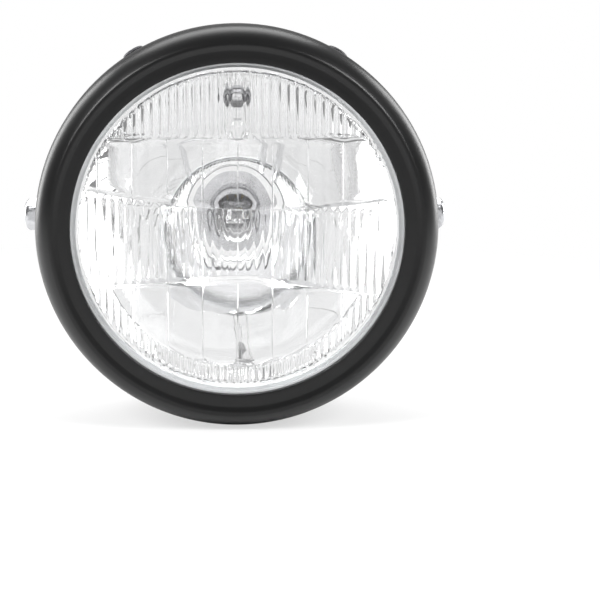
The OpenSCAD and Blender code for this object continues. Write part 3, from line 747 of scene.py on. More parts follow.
def arc(centre: Point2, radius: float, start: float, end: float, steps: int) -> list[Point2]:
    """Points of an arc from one angle in degrees to another."""
    angles = (math.radians(start + (end - start) * i / steps) for i in range(steps + 1))
    return [(centre[0] + radius * math.cos(a), centre[1] + radius * math.sin(a)) for a in angles]


def dome(radius: float, foot: float, height: float, steps: int) -> list[Point2]:
    """Points of a dome's section from its rim at the foot's height to its tip."""
    angles = (math.radians(90 * i / steps) for i in range(steps + 1))
    return [(radius * math.cos(a), foot + height * math.sin(a)) for a in angles]


def side_name(side: int) -> str:
    """Left for -1 and right for 1."""
    return "left" if side < 0 else "right"


def lamp_place(x: float, up: float, forward: float) -> Vector:
    """A point of the lamp's own frame in the row frame, in millimetres."""
    return Vector((x, -forward, up))


def settle(obj: Piece, slot: str, *nodes: str) -> None:
    """Puts a finished piece on the lamp's body.

    Args:
        obj: the piece.
        slot: the name of a material slot; not used.
        nodes: the CAD nodes that it stands for.
    """
    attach(obj, BODY)
    if nodes:
        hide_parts(*nodes)
    LOG.info("%s: %d faces", obj.name, len(obj.data.polygons))


def dress(finish: Finish, *names: str) -> None:
    """Gives CAD nodes a finish.

    Args:
        finish: the finish.
        names: the nodes.
    """
    for name in names:
        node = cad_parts[name]
        node.data.materials.clear()
        node.data.materials.append(finish.material)
        LOG.info("%s: %s", name, finish.value.name)


@dataclass
class Tube:
    """A round tube along a path."""

    radius: float
    sides: int

    def add(self, form: Form, path: Sequence[Vector]) -> None:
        """Adds the tube with its ends closed.

        Args:
            form: the form that takes it.
            path: the points that it follows.
        """
        up = Vector((0, 0, 1))
        rows, last = [], None
        for i, point in enumerate(path):
            along = (path[min(i + 1, len(path) - 1)] - path[max(i - 1, 0)]).normalized()
            if last is None:
                side = along.cross(up if abs(along.z) < 0.9 else Vector((1, 0, 0))).normalized()
            else:
                side = (last - along * last.dot(along)).normalized()
            last = side
            other = along.cross(side)
            angles = (2 * math.pi * k / self.sides for k in range(self.sides))
            rows.append([point + (side * math.cos(a) + other * math.sin(a)) * self.radius for a in angles])
        start = len(form.points)
        form.grid(rows, False, True)
        count = len(rows) * self.sides
        form.faces.append(tuple(range(start + self.sides - 1, start - 1, -1)))
        form.faces.append(tuple(range(start + count - self.sides, start + count)))


def smooth_path(points: Sequence[Point3], steps: int) -> list[Vector]:
    """A smooth path through points.

    Args:
        points: the points.
        steps: how many steps lie between two of them.

    Returns:
        The path.
    """
    knots = [Vector(p) for p in points]
    path = []
    for i in range(len(knots) - 1):
        a, b = knots[i], knots[i + 1]
        before = knots[i - 1] if i else a * 2 - b
        after = knots[i + 2] if i + 2 < len(knots) else b * 2 - a
        for k in range(steps):
            t = k / steps
            path.append((
                a * 2 + (b - before) * t + (before * 2 - a * 5 + b * 4 - after) * t ** 2
                + (a * 3 - before - b * 3 + after) * t ** 3) / 2)
    path.append(knots[-1])
    return path


@dataclass(frozen=True)
class Winding:
    """Two posts on an axis and the fine wire that is wound between them."""

    axis: Axis
    wire: Tube
    coil_r: float
    half_w: float
    turns: int
    per_turn: int

    def posts(self, form: Form, half: float, radius: float, heights: Point3, sides: int) -> None:
        """Adds the two posts.

        Args:
            form: the form that takes them.
            half: how far each stands from the axis.
            radius: their radius.
            heights: the heights of their foot, their upper edge and their tip.
            sides: the number of their sides.
        """
        foot, top, tip = heights
        for offset in (-half, half):
            section = [(0, foot), (radius, foot), (radius, top), (0, tip)]
            form.turn(section, self.axis.beside(offset), sides, False)

    def coil(self, form: Form, height: float) -> None:
        """Adds the wound wire.

        Args:
            form: the form that takes it.
            height: its height on the axis.
        """
        steps, up = self.turns * self.per_turn, self.axis.along.cross(self.axis.side)
        path = []
        for i in range(steps + 1):
            a = 2 * math.pi * i / self.per_turn
            foot = self.axis.origin + self.axis.along * (height + self.coil_r * math.cos(a))
            across = self.axis.side * self.half_w * (2 * i / steps - 1)
            path.append(foot + across + up * (self.coil_r * math.sin(a)))
        self.wire.add(form, path)


def blown(
    name: str, skin: Callable[[float], list[Point2]], wall: float, axis: Axis, segments: int
) -> Piece:
    """Makes a hollow glass bulb from an outer and an inner skin, so that its wall is solid glass.

    Args:
        name: its name.
        skin: gives the outline set in by a distance.
        wall: the glass's thickness.
        axis: the bulb's axis.
        segments: the number of steps round it.

    Returns:
        The bulb.
    """
    form = Form()
    for inset in (0, wall):
        form.turn(skin(inset), axis, segments, False)
    bulb = form.object(name, Finish.BULB_GLASS, SMOOTH)
    work = bmesh.new()
    work.from_mesh(bulb.data)
    outer, stack = set(), [max(work.verts, key=lambda v: v.co.x)]
    while stack:
        v = stack.pop()
        if v not in outer:
            outer.add(v)
            stack += [e.other_vert(v) for e in v.link_edges]
    bmesh.ops.reverse_faces(work, faces=[f for f in work.faces if f.verts[0] not in outer])
    work.to_mesh(bulb.data)
    work.free()
    return bulb


@dataclass
class Bucket:
    """The pressed steel shell, with its side pads and its cable opening."""

    seam: float = 30.0
    depth: float = 105.5
    lamp_r: float = 90.0
    sheet: float = 1.2
    nose_r: float = 39.0
    flank_r: float = 185.0
    shoulder_r: float = 43.0
    rear_slope: float = 61.4
    front_slope: float = 36.0
    taper: float = 4.6
    hem: float = 0.7
    skirt_steps: int = 26
    lip_r: float = 88.5
    lip_len: float = 8.0
    pad_x: float = 84.2
    pad_r: float = 18.5
    pad_reach: float = 45.0
    pad_spread: float = 0.6
    ray_span: Point2 = (40.0, 130.0)
    halvings: int = 26
    recess_draft: float = 37.0
    boss_draft: float = 20.0
    press_r: float = 2.2
    opening_w: float = 92.0
    opening_len: float = 36.6
    opening_setback: float = 70.4
    front_corner: float = 10.0
    rear_corner: float = 17.0
    lobe: float = 3.0
    bolt_hole: float = 8.4
    bolt_drill: float = 12.0
    screw_hole: float = 5.5
    screw_drill: float = 8.0
    screw_angle: float = 31.5
    screw_z: float = 12.4
    crease: float = 35.0

    def arcs(self) -> list[tuple[Point2, float, float, float, int]]:
        """Works out the three arcs of the outline, from the nose forward.

        Returns:
            Centre, radius, first and last angle and number of steps of each arc.
        """
        nose_end, flank_end = 90 - self.rear_slope, 90 - self.front_slope
        nose = (0.0, self.seam - self.depth + self.nose_r)
        x, y = self.ray(self.nose_r - self.flank_r, nose_end)
        flank = (nose[0] + x, nose[1] + y)
        x, y = self.ray(self.flank_r - self.shoulder_r, flank_end)
        shoulder = (flank[0] + x, flank[1] + y)
        return [
            (nose, self.nose_r, 0.0, nose_end, 14),
            (flank, self.flank_r, nose_end, flank_end, 34),
            (shoulder, self.shoulder_r, flank_end, 90 - self.taper, 60),
        ]

    @staticmethod
    def ray(radius: float, angle: float) -> Point2:
        """The offset at that angle in degrees from the rearward direction."""
        a = math.radians(angle)
        return radius * math.sin(a), -radius * math.cos(a)

    def stretch(self) -> float:
        """Fits the outline to the lamp's radius.

        Returns:
            The factor that brings the skirt to that radius at the seam.
        """
        centre, radius, _, end, _ = self.arcs()[2]
        x, y = self.ray(radius, end)
        at_seam = centre[0] + x + (self.seam - centre[1] - y) * math.tan(math.radians(self.taper))
        return self.lamp_r / at_seam

    def outline(self) -> list[Point2]:
        """Draws the outer skin.

        Returns:
            Its points from the tip to the end of the lip, as (radius, height).
        """
        k, points = self.stretch(), []
        for centre, radius, start, end, steps in self.arcs():
            for i in range(steps + 1):
                x, y = self.ray(radius, start + (end - start) * i / steps)
                if not points or i:
                    points.append(((centre[0] + x) * k, centre[1] + y))
        r0, z0 = points[-1]
        rise, run = self.seam - self.hem - z0, self.lamp_r - r0
        shares = [i / self.skirt_steps for i in range(1, self.skirt_steps + 1)]
        points += [(r0 + run * share, z0 + rise * share) for share in shares]
        points += arc((self.lamp_r - self.hem, self.seam - self.hem), self.hem, 20, 90, 4)
        root = 0.15
        points += [(self.lip_r + root, self.seam), (self.lip_r, self.seam + root)]
        return points + [(self.lip_r, self.seam + self.lip_len)]

    def pad_limit(self, radius: float, height: float, angle: float) -> float:
        """The skin's radius where a side pad may stand proud of it or cut into it.

        Args:
            radius: the plain skin's radius there.
            height: the height there.
            angle: the angle round the lamp in degrees.

        Returns:
            The skin's radius with the pad.
        """
        a = math.radians(angle)
        c, s = abs(math.cos(a)), math.sin(a)
        if c < self.pad_spread or abs(height) > self.pad_reach:
            return radius
        boss = self.cone_cross(c, s, height, -1, self.boss_draft)
        recess = self.cone_cross(c, s, height, 1, self.recess_draft)
        proud = -smoothed(-radius, -boss, self.press_r)
        return smoothed(proud, recess, self.press_r)

    def cone_cross(self, c: float, s: float, height: float, way: int, draft: float) -> float:
        """Where a ray out of the lamp's axis leaves the boss or meets the recess.

        Args:
            c: the cosine of the ray's angle from the pad's axis.
            s: its sine.
            height: the ray's height along the lamp.
            way: 1 for the recess, -1 for the boss.
            draft: the cone's draft in degrees.

        Returns:
            The radius there, 0 for a boss that is missed and infinity for a recess that is missed.
        """
        floor = self.pad_x / c
        k = math.tan(math.radians(draft))
        if math.hypot(floor * s, height) <= self.pad_r:
            return floor
        low, high = (floor, self.ray_span[1]) if way > 0 else (self.ray_span[0], floor)

        def inside(r: float) -> bool:
            """Tells whether the point at that radius lies in the cone."""
            return math.hypot(r * s, height) <= self.pad_r + way * (r * c - self.pad_x) * k

        if way > 0 and not inside(high):
            return math.inf
        if way < 0 and not inside(low):
            return 0.0
        for _ in range(self.halvings):
            middle = (low + high) / 2
            if inside(middle) == (way < 0):
                low = middle
            else:
                high = middle
        return (low + high) / 2

    def angles(self) -> list[float]:
        """Spaces the skin's columns, closer together at the side pads.

        Returns:
            Their angles in degrees.
        """
        fine, wide, reach = 1.0, 2.4, 26
        side = [-reach + fine * i for i in range(int(2 * reach / fine))]
        between = int((180 - 2 * reach) / wide)
        top = [reach + (180 - 2 * reach) * i / between for i in range(between)]
        return [a + half for half in (0, 180) for a in side + top]

    def skin(self) -> Piece:
        """Makes the whole shell without its holes.

        Returns:
            The shell.
        """
        outline = self.outline()
        inner: list[Point2] = []
        for i, (r, z) in enumerate(outline):
            before, after = outline[max(i - 1, 0)], outline[min(i + 1, len(outline) - 1)]
            dr, dz = after[0] - before[0], after[1] - before[1]
            size = math.hypot(dr, dz) or 1.0
            inner.append((max(r - self.sheet * dz / size, 0.0), z + self.sheet * dr / size))
        step, slack, lip = 2 * self.sheet, 0.2, self.lip_r - self.sheet
        inner = [p for p in inner if p[1] < self.seam - step]
        inner += [(self.lamp_r - self.sheet - slack, self.seam - step + slack), (lip, self.seam - self.sheet)]
        inner.append((lip, self.seam + self.lip_len))
        angles = self.angles()
        rows = [[LAMP.point(self.pad_limit(r, z, a), z, a) for a in angles] for r, z in outline]
        for r, z in reversed(inner[::2] + inner[-1:]):
            radii = [self.pad_limit(r + self.sheet, z, a) - self.sheet if r > 1 else r for a in angles]
            rows.append([LAMP.point(x, z, a) for x, a in zip(radii, angles)])
        form = Form()
        form.grid(rows, False, True)
        return form.object("bucket_shell", Finish.BUCKET, self.crease)

    def opening(self) -> Piece:
        """Makes the solid that cuts the cable opening.

        Returns:
            The cutting solid.
        """
        half, front = self.opening_w / 2, -self.opening_len / 2
        rear_c = (half - self.rear_corner, -front - self.rear_corner)
        front_c = (half - self.front_corner, front - self.lobe + self.front_corner)
        right = arc(front_c, self.front_corner, -90, 0, 10) + arc(rear_c, self.rear_corner, 0, 90, 14)
        flow = ((-4.0, 0.0), (-1.0, -0.4), (1.5, 0.6 - self.lobe))
        right = [(rear_c[0] + x, front + y) for x, y in flow] + right
        outline = right + [(-x, y) for x, y in reversed(right)]
        centre, radius, _, _, _ = self.arcs()[1]
        z = self.seam - self.opening_setback
        mid = (centre[0] + math.sqrt(radius ** 2 - (z - centre[1]) ** 2)) * self.stretch()
        normal = math.degrees(math.acos((centre[1] - z) / radius))
        place = (
            Matrix.Rotation(math.radians(90), 4, "X")
            @ Matrix.Translation((0, mid, z))
            @ Matrix.Rotation(math.radians(normal - 180), 4, "X")
        )
        reach = 30.0
        return prism(outline, -reach, reach, place).object("opening_cutter", Finish.BUCKET)

    def holes(self) -> list[Piece]:
        """Makes the solids that cut the holes for the bolts and the rim screws.

        Returns:
            The cutting solids.
        """
        tools = []
        for side in (-1, 1):
            start = Vector((side * (self.pad_x - self.bolt_drill), 0, 0))
            bolt = Axis(start, Vector((side, 0, 0)), Vector((0, 1, 0)))
            tools.append(drill(self.bolt_hole / 2, 0, 2 * self.bolt_drill, bolt, 40, Finish.BUCKET))
            screw, reach = self.screw_axis(side), self.screw_drill
            tools.append(drill(self.screw_hole / 2, -reach, reach, screw, 32, Finish.BUCKET))
        return tools

    def screw_axis(self, side: int) -> Axis:
        """Places a rim screw.

        Args:
            side: -1 for the left screw and 1 for the right one.

        Returns:
            Its axis, from the skin outward.
        """
        tilt = math.radians(self.taper)
        a = 90 - side * self.screw_angle
        r = self.lamp_r - (self.seam - self.screw_z) * math.tan(tilt) * self.stretch()
        out = LAMP.point(1, 0, a)
        along = (out * math.cos(tilt) + Vector((0, 1, 0)) * math.sin(tilt)).normalized()
        across = along.cross(LAMP.point(1, 0, a + 90)).normalized()
        return Axis(LAMP.point(r, self.screw_z, a), along, across)

    def build(self) -> None:
        """Makes the shell and puts it in the bucket's place."""
        shell = self.skin()
        cut(shell, [self.opening(), *self.holes()], Finish.BUCKET, self.crease)
        settle(shell, "bucket_black", "bucket")


@dataclass
class TrimRing:
    """The rolled ring that carries the lens, with the notch in its rear edge."""

    seam: float = 30.0
    depth: float = 26.0
    lamp_r: float = 90.0
    sheet: float = 1.2
    wall: float = 12.0
    crease_r: float = 83.0
    open_r: float = 73.8
    dish: float = 0.7
    lip: float = 4.0
    crown: float = 2.6
    crown_lead: float = 2.6
    crown_end: float = 112.0
    bead: float = 0.55
    hem: float = 0.35
    gap: float = 0.5
    notch_w: float = 6.0
    notch_depth: float = 3.0
    notch_angle: float = 5.5
    segments: int = 256

    def section(self) -> list[Point2]:
        """Draws the ring's section.

        Returns:
            Its points as (radius, height).
        """
        front, rear = self.seam + self.depth, self.seam + self.gap
        dz, dr = self.depth - self.wall, self.lamp_r - self.crease_r
        arc_r = (dz ** 2 + dr ** 2) / (2 * dr)
        end = math.degrees(math.asin(dz / arc_r))
        start = end - self.crown_lead
        centre = (self.lamp_r - arc_r, self.seam + self.wall)
        outer = arc(centre, arc_r, 0, start, 30)
        inner = arc(centre, arc_r - self.sheet, 0, end, 16)
        tilt = math.radians(start)
        crown = (outer[-1][0] - self.crown * math.cos(tilt), outer[-1][1] - self.crown * math.sin(tilt))
        crease = arc(crown, self.crown, start, self.crown_end, 14)[1:]
        face, lip_rear, inside = front - self.dish, front - self.lip, self.open_r + self.sheet
        mouth = arc((self.open_r + self.bead, face - self.bead), self.bead, 90, 180, 5)
        return [
            (self.lamp_r - self.hem, rear), (self.lamp_r, rear + self.hem), *outer, *crease,
            (crown[0] - 2.4, face + 0.03), (crown[0] - 2.9, face), (self.open_r + 3, face - 0.02), *mouth,
            (self.open_r, lip_rear), (inside, lip_rear), (inside, face - self.sheet),
            *reversed(inner), (self.lamp_r - self.sheet, rear),
        ]

    def build(self) -> None:
        """Makes the ring and puts it in the CAD ring's place."""
        ring = turned("trim_ring_rolled", Finish.RING, self.section(), LAMP, self.segments, SHARP)
        half, corner, reach = self.notch_w / 2, 1.0, 4.0
        top = self.notch_depth + self.gap - corner
        outline = [(-half, -corner), (half, -corner), *arc((half - corner, top), corner, 0, 90, 4),
                   *arc((corner - half, top), corner, 90, 180, 4)]
        place = (
            Matrix.Rotation(math.radians(self.notch_angle), 4, "Y")
            @ Matrix.Translation((0, -self.seam, self.lamp_r))
            @ Matrix.Rotation(math.pi, 4, "Z")
        )
        cut(ring, [prism(outline, -reach, reach, place).object("notch_cutter", Finish.RING)], Finish.RING)
        settle(ring, "ring_black", "trim_ring")


@dataclass
class Lens:
    """The moulded glass: a shallow dome with bands of flutes on its inner face."""

    edge_r: float = 76.5
    open_r: float = 73.8
    pattern_r: float = 69.6
    rise: float = 6.5
    rim_z: float = 51.0
    wall: float = 3.0
    flute: float = 0.4
    ridge: float = 0.16
    column: float = 15.4
    upper: float = 40.7
    middle: float = 9.6
    lower: float = -21.5
    half_w: float = 66.0
    middle_bow: float = 5.5
    middle_tilt: float = 2.4
    lower_flat: float = 5.0
    lower_right: float = 8.5
    lower_left: float = 3.6
    arc_r: float = 61.3
    gutter: float = 0.8
    seat_more: float = 0.5
    per_flute: int = 8
    line: float = 0.28
    band_rows: tuple[int, ...] = (9, 12, 14, 12, 12)
    band_ribs: tuple[int, ...] = (5, 1, 4, 1, 4)
    band_depth: tuple[float, ...] = (0.8, 0.5, 0.95, 0.6, 0.7)
    band_end: float = 0.3
    fading_band: int = 2
    fade: float = 0.6
    fade_span: Point2 = (18.0, 48.0)
    rims: tuple[float, ...] = (74.5, 72.5, 71.2, 70.4, 70.0)

    def dome(self, r: float) -> float:
        """Height of the front face's plain dome at that radius."""
        dome_r = (self.open_r ** 2 + self.rise ** 2) / (2 * self.rise)
        return self.rim_z + self.rise - dome_r + math.sqrt(dome_r ** 2 - r ** 2)

    def front(self, x: float, y: float) -> float:
        """Height of the front face.

        Args:
            x: the place across the lens.
            y: the place up the lens.

        Returns:
            The height, with the gutter round the pattern.
        """
        r = math.hypot(x, y)
        fall = ramp((r - self.pattern_r - 0.2) / 0.9) - ramp(r - self.open_r)
        return self.dome(r) - self.gutter * fall

    def lines(self, x: float) -> list[float]:
        """Places the lines that part the pattern.

        Args:
            x: the place across the lens.

        Returns:
            The lines' places up the lens, from the bottom up.
        """
        top = self.chord(self.pattern_r, x)
        share = x / self.half_w
        middle = self.middle + self.middle_bow * share ** 2 - self.middle_tilt * share
        right = max(x - self.lower_flat, 0) / (self.half_w - self.lower_flat)
        lower = self.lower - self.lower_right * right - self.lower_left * max(-share, 0)
        bow = -self.chord(self.arc_r, x) if abs(x) < self.arc_r else 0.0
        return [-top, min(bow, lower), lower, middle, self.upper, top]

    @staticmethod
    def chord(radius: float, x: float) -> float:
        """Half the chord of a circle at that distance from its middle."""
        return math.sqrt(max(radius ** 2 - x ** 2, 0.0))

    def relief(self, x: float, band: int) -> float:
        """Works out the moulded pattern: convex ribs with sharp valleys, and a ridge along each column.

        Args:
            x: the place across the lens.
            band: the band's number, from the bottom up.

        Returns:
            The pattern's height on the rear face.
        """
        depth = self.flute * self.band_depth[band]
        if band == self.fading_band:
            start, end = self.fade_span
            depth -= self.flute * self.fade * (1 - ramp((abs(x) - start) / (end - start)))
        wave = abs(math.sin(math.pi * x / self.column * self.band_ribs[band]))
        off = abs(x - self.column * round(x / self.column))
        return depth * wave + self.ridge * max(0.0, 1 - off / self.line)

    def rows(self, x: float) -> list[Point2]:
        """Spaces the points of one column of the rear face.

        Args:
            x: the column's place across the lens.

        Returns:
            Each point's place up the lens and its relief, from the bottom up.
        """
        lines, edge = self.lines(x), self.chord(self.edge_r, x)
        rows = [(-self.chord(r, x), 0.0) for r in (self.edge_r, *self.rims)]
        for band, count in enumerate(self.band_rows):
            low, high = lines[band] + self.line, lines[band + 1] - self.line
            for k in range(count + 1):
                share = self.band_end if k in (0, count) else 1.0
                rows.append((low + (high - low) * k / count, self.relief(x, band) * share))
            if band < len(self.band_rows) - 1:
                rows.append((lines[band + 1], self.ridge))
        rows += [(self.chord(r, x), 0.0) for r in (*reversed(self.rims), self.edge_r)]
        ordered, last = [], -edge
        for y, depth in rows:
            y = min(max(y, -edge), edge)
            inside = abs(y) <= lines[-1] and abs(x) < self.pattern_r
            last = max(y, last)
            ordered.append((last, depth if inside else 0.0))
        return ordered

    def rear(self, x: float, y: float, depth: float) -> float:
        """Height of the rear face.

        Args:
            x: the place across the lens.
            y: the place up the lens.
            depth: the pattern's height there.

        Returns:
            The height.
        """
        r = math.hypot(x, y)
        thick = self.wall + self.seat_more * (ramp((r - self.pattern_r) / 0.8) - ramp(r - self.open_r))
        return self.dome(r) - thick + depth

    def across(self) -> list[float]:
        """Spaces the columns, with one on each side of each ridge.

        Returns:
            Their places across the lens.
        """
        pitch = self.column / 4 / self.per_flute
        free, ends = 1.2, (0.9, 0.5, 0.25, 0.08, 0.0)
        half = [i * pitch for i in range(1, math.ceil((self.edge_r - free) / pitch))]
        half += [self.edge_r - d for d in ends]
        ridges = [k * self.column + d for k in range(5) for d in (-self.line, self.line)]
        half = sorted(half + [x for x in ridges if 0 < x < self.pattern_r])
        return [-x for x in reversed(half)] + [0.0] + half

    def build(self) -> None:
        """Makes the lens and puts it in the CAD lens's place."""
        steps, inside = 44, 0.9
        rims = (1.0, 0.985, 0.965, 0.95, 0.94, 0.93, 0.92, 0.91, inside)
        inner = [inside * math.cos(math.pi * k / steps) for k in range(1, steps)]
        shares = [-s for s in rims] + sorted(inner) + list(reversed(rims))
        rows = []
        for x in self.across():
            edge = self.chord(self.edge_r, x)
            front = [lamp_place(x, edge * s, self.front(x, edge * s)) for s in shares]
            rear = [lamp_place(x, y, self.rear(x, y, d)) for y, d in self.rows(x)]
            rows.append(front + list(reversed(rear)))
        form = Form()
        form.grid(rows, False, True)
        settle(form.object("lens_moulded", Finish.LENS, 38, 0.002), "lens_glass", "lens")


@dataclass
class Reflector:
    """The pressed bowl with its cupped flange and the bulb collar."""

    focal: float = 24.0
    mouth_r: float = 70.0
    sheet: float = 1.0
    flange_z: float = 46.45
    collar_r: float = 22.2
    collar_len: float = 9.0
    bend: float = 1.7
    seat_r: float = 19.0
    cup_r: float = 78.5
    cup_z: float = 49.65
    park_r: float = 57.0
    park_hole: float = 6.8

    @property
    def vertex(self) -> float:
        """Height of the bowl's vertex."""
        return self.flange_z - self.mouth_r ** 2 / (4 * self.focal)

    @property
    def seat(self) -> float:
        """Height of the seat that the bulb's flange lies under."""
        return self.vertex + self.collar_r ** 2 / (4 * self.focal) - self.collar_len - 0.5

    def bowl(self, r: float) -> Point2:
        """The bowl's inner face at that radius."""
        return r, self.vertex + r ** 2 / (4 * self.focal)

    def back(self, r: float) -> Point2:
        """Offsets the bowl's rear face.

        Args:
            r: the radius on the inner face.

        Returns:
            The point behind it on the rear face.
        """
        slope = r / (2 * self.focal)
        size = math.hypot(1, slope)
        x, z = self.bowl(r)
        return x + self.sheet * slope / size, z - self.sheet / size

    def section(self) -> list[Point2]:
        """Draws the reflector's section.

        Returns:
            Its points as (radius, height).
        """
        front_steps, rear_steps = 60, 30
        tilt = math.degrees(math.atan((self.collar_r + self.bend) / (2 * self.focal)))
        start = self.collar_r + self.bend * (1 - math.sin(math.radians(tilt)))
        span = self.mouth_r - start
        front = [self.bowl(start + span * i / front_steps) for i in range(front_steps + 1)]
        first = self.collar_r + self.sheet * 1.2
        span = self.mouth_r - first
        rear = [self.back(first + span * i / rear_steps) for i in range(rear_steps)]
        lip = self.bowl(start)[1] - self.bend * math.cos(math.radians(tilt))
        collar = arc((self.collar_r + self.bend, lip), self.bend, 180, 94 + tilt, 9)
        cup, back, seat_back = self.cup_r - self.sheet, self.flange_z - self.sheet, self.seat - self.sheet
        return [
            *collar, *front, (cup, self.flange_z), (cup, self.cup_z), (self.cup_r, self.cup_z),
            (self.cup_r, back), (self.mouth_r + 0.6, back), *reversed(rear),
            (self.collar_r + self.sheet, seat_back), (self.seat_r, seat_back),
            (self.seat_r, self.seat), (self.collar_r, self.seat),
        ]

    def park_axis(self) -> Axis:
        """Places the parking bulb square to the bowl.

        Returns:
            Its axis, from its seat into the bowl.
        """
        slope = self.park_r / (2 * self.focal)
        size = math.hypot(1, slope)
        r, z = self.bowl(self.park_r)
        return Axis(lamp_place(0, r, z), Vector((0, -1 / size, -slope / size)), Vector((1, 0, 0)))

    def build(self) -> None:
        """Makes the reflector and puts it in the CAD reflector's place."""
        bowl = turned("reflector_bowl", Finish.BOWL, self.section(), LAMP, 256, SHARP)
        reach = 8.0
        hole = drill(self.park_hole, -reach, reach, self.park_axis(), 48, Finish.BOWL)
        cut(bowl, [hole], Finish.BOWL)
        settle(bowl, "reflector_bright", "reflector")


@dataclass
class HeadBulb:
    """The two-filament bulb in the reflector's collar."""

    seat: float
    vertex: float
    focal: float = 24.0
    glass_r: float = 8.5
    glass_len: float = 48.0
    glass_wall: float = 1.0
    collar_r: float = 11.5
    flange_r: float = 21.5
    flange_t: float = 1.0
    slot_r: float = 14.9
    base_r: float = 13.5

    def glass(self) -> None:
        """Makes the clear envelope with its rounded tip."""
        foot = self.seat - self.flange_t
        rear, tip = foot + 3, foot + self.glass_len

        def skin(t: float) -> list[Point2]:
            """Draws the envelope's outline.

            Args:
                t: how far it is set in.

            Returns:
                Its points from the rear to the tip.
            """
            r, cap, low = self.glass_r - t, self.glass_r * 0.8, rear + 2 * t
            return [(0, low), (r - 0.6, low), (r, low + 0.6), *dome(r, tip - cap, cap - t, 14)]

        settle(blown("bulb_envelope", skin, self.glass_wall, LAMP, 64), "bulb_clear", "bulb_glass")

    def filaments(self) -> None:
        """Makes the two wound filaments, their posts and the dished shield."""
        focus = self.vertex + self.focal
        rear = self.seat - self.flange_t + 5.2
        form = Form()
        winding = Winding(LAMP, Tube(0.24, 5), coil_r=0.55, half_w=3.3, turns=9, per_turn=14)
        winding.posts(form, 3.4, 0.42, (rear, focus + 9, focus + 9.3), 10)
        for height in (focus, focus + 8):
            winding.coil(form, height)
        steps, inner, outer, low, high = 24, 5.0, 5.45, focus + 2, focus + 7
        section = ((inner, low), (outer, low), (outer, high), (inner, high))
        form.grid([[LAMP.point(r, h, 180 + 180 * i / steps) for r, h in section] for i in range(steps + 1)],
                  False, True)
        settle(form.object("bulb_filament_set", Finish.WIRE, 40), "filament_grey", "bulb_filaments")

    def base(self) -> None:
        """Makes the metal cup, the three-eared flange and the base behind the reflector."""
        foot = self.seat - self.flange_t
        rear, mouth, cup, flange, base = foot - 1.2, self.glass_r, self.collar_r, self.flange_r, self.base_r
        body = turned("bulb_base_turned", Finish.BULB_METAL, [
            (mouth + 0.2, foot + 1), (mouth + 0.2, foot + 6.2), (mouth + 0.6, foot + 6.6),
            (cup - 0.5, foot + 6.6), (cup, foot + 6.1), (cup, foot + 1.6),
            (cup + 1.6, foot + 0.4), (flange - 3.2, foot), (flange - 0.3, foot),
            (flange, foot - 0.3), (flange, rear), (base, rear),
            (base, rear - 8.4), (base - 0.4, rear - 8.8), (base - 0.8, rear - 9),
            (base - 0.8, rear - 12.8), (0, rear - 12.8), (0, foot + 1),
        ], LAMP, 96, SHARP, False)
        slots = []
        for angle, wide in ((128, 5.4), (62, 4.4), (270, 5.0)):
            middle, across = LAMP.point(self.slot_r, foot + 0.4, angle), LAMP.point(1, 0, angle + 90)
            place, x = placed(middle, across, LAMP.point(1, 0, angle), LAMP.along), (-wide / 2, wide / 2)
            slots.append(block("slot_cutter", Finish.BULB_METAL, x, (-1.5, 1.5), (-0.9, 2), place))
        cut(body, slots, Finish.BULB_METAL)
        settle(body, "bulb_metal", "bulb_base")

    def build(self) -> None:
        """Makes the bulb's pieces."""
        self.glass()
        self.filaments()
        self.base()
        dress(Finish.BRASS, "bulb_blades")
        dress(Finish.SPRING, "bulb_lock_ring")
        dress(Finish.RUBBER, "dust_boot")
        dress(Finish.BLACK_PLASTIC, "bulb_socket")


@dataclass
class ParkBulb:
    """The small parking bulb in its holder above the head bulb."""

    axis: Axis
    neck_r: float = 4.6
    glass_r: float = 5.6
    glass_len: float = 22.0
    wall: float = 0.6
    holder_r: float = 6.2

    def build(self) -> None:
        """Makes the bulb, its wires, its holder and the holder's sleeve."""
        rear = -3.8

        def skin(t: float) -> list[Point2]:
            """Draws the glass's outline.

            Args:
                t: how far it is set in.

            Returns:
                Its points from the rear to the tip.
            """
            r, neck, low = self.glass_r - t, self.neck_r - t, rear + t
            return [(0, low), (neck - 0.4, low), (neck, low + 0.5), (neck, 2.6), (r - 0.3, 4.4), (r, 5.6),
                    *dome(r, self.glass_len - self.glass_r, self.glass_r - t, 12)]

        settle(blown("park_bulb_glass", skin, self.wall, self.axis, 48), "bulb_clear", "park_bulb")
        form = Form()
        foot, half = -3.0, 1.4
        winding = Winding(self.axis, Tube(0.16, 4), coil_r=0.35, half_w=half, turns=8, per_turn=10)
        winding.posts(form, half, 0.22, (foot, 12.5, 12.7), 8)
        winding.coil(form, 12.4)
        form.turn([(0, foot), (3.0, foot), (3.0, 0.4), (2.2, 1.2), (0, 1.4)], self.axis, 32, False)
        settle(form.object("park_bulb_wires", Finish.WIRE, 40), "filament_grey")
        cup, rim, socket = self.holder_r, 9.4, 4.7
        settle(turned("park_holder_moulded", Finish.BLACK_PLASTIC, [
            (socket, -4), (socket, -1.6), (rim - 0.2, -1.6), (rim, -1.9), (rim, -3.3), (rim - 0.2, -3.6),
            (cup, -3.6), (cup, -15.6), (cup - 0.4, -16), (5, -16.1), (5, -17.3), (4.7, -17.5), (0, -17.5),
            (0, -4),
        ], self.axis, 56, SHARP, False), "rubber_black", "park_holder")
        settle(turned("park_holder_sleeve", Finish.PLATED, [
            (socket, -1.58), (cup, -1.58), (cup, 1.7), (cup - 0.15, 1.95), (cup - 0.3, 1.8),
            (cup - 0.3, -1.1), (socket, -1.1),
        ], self.axis, 56, SHARP), "bulb_metal")


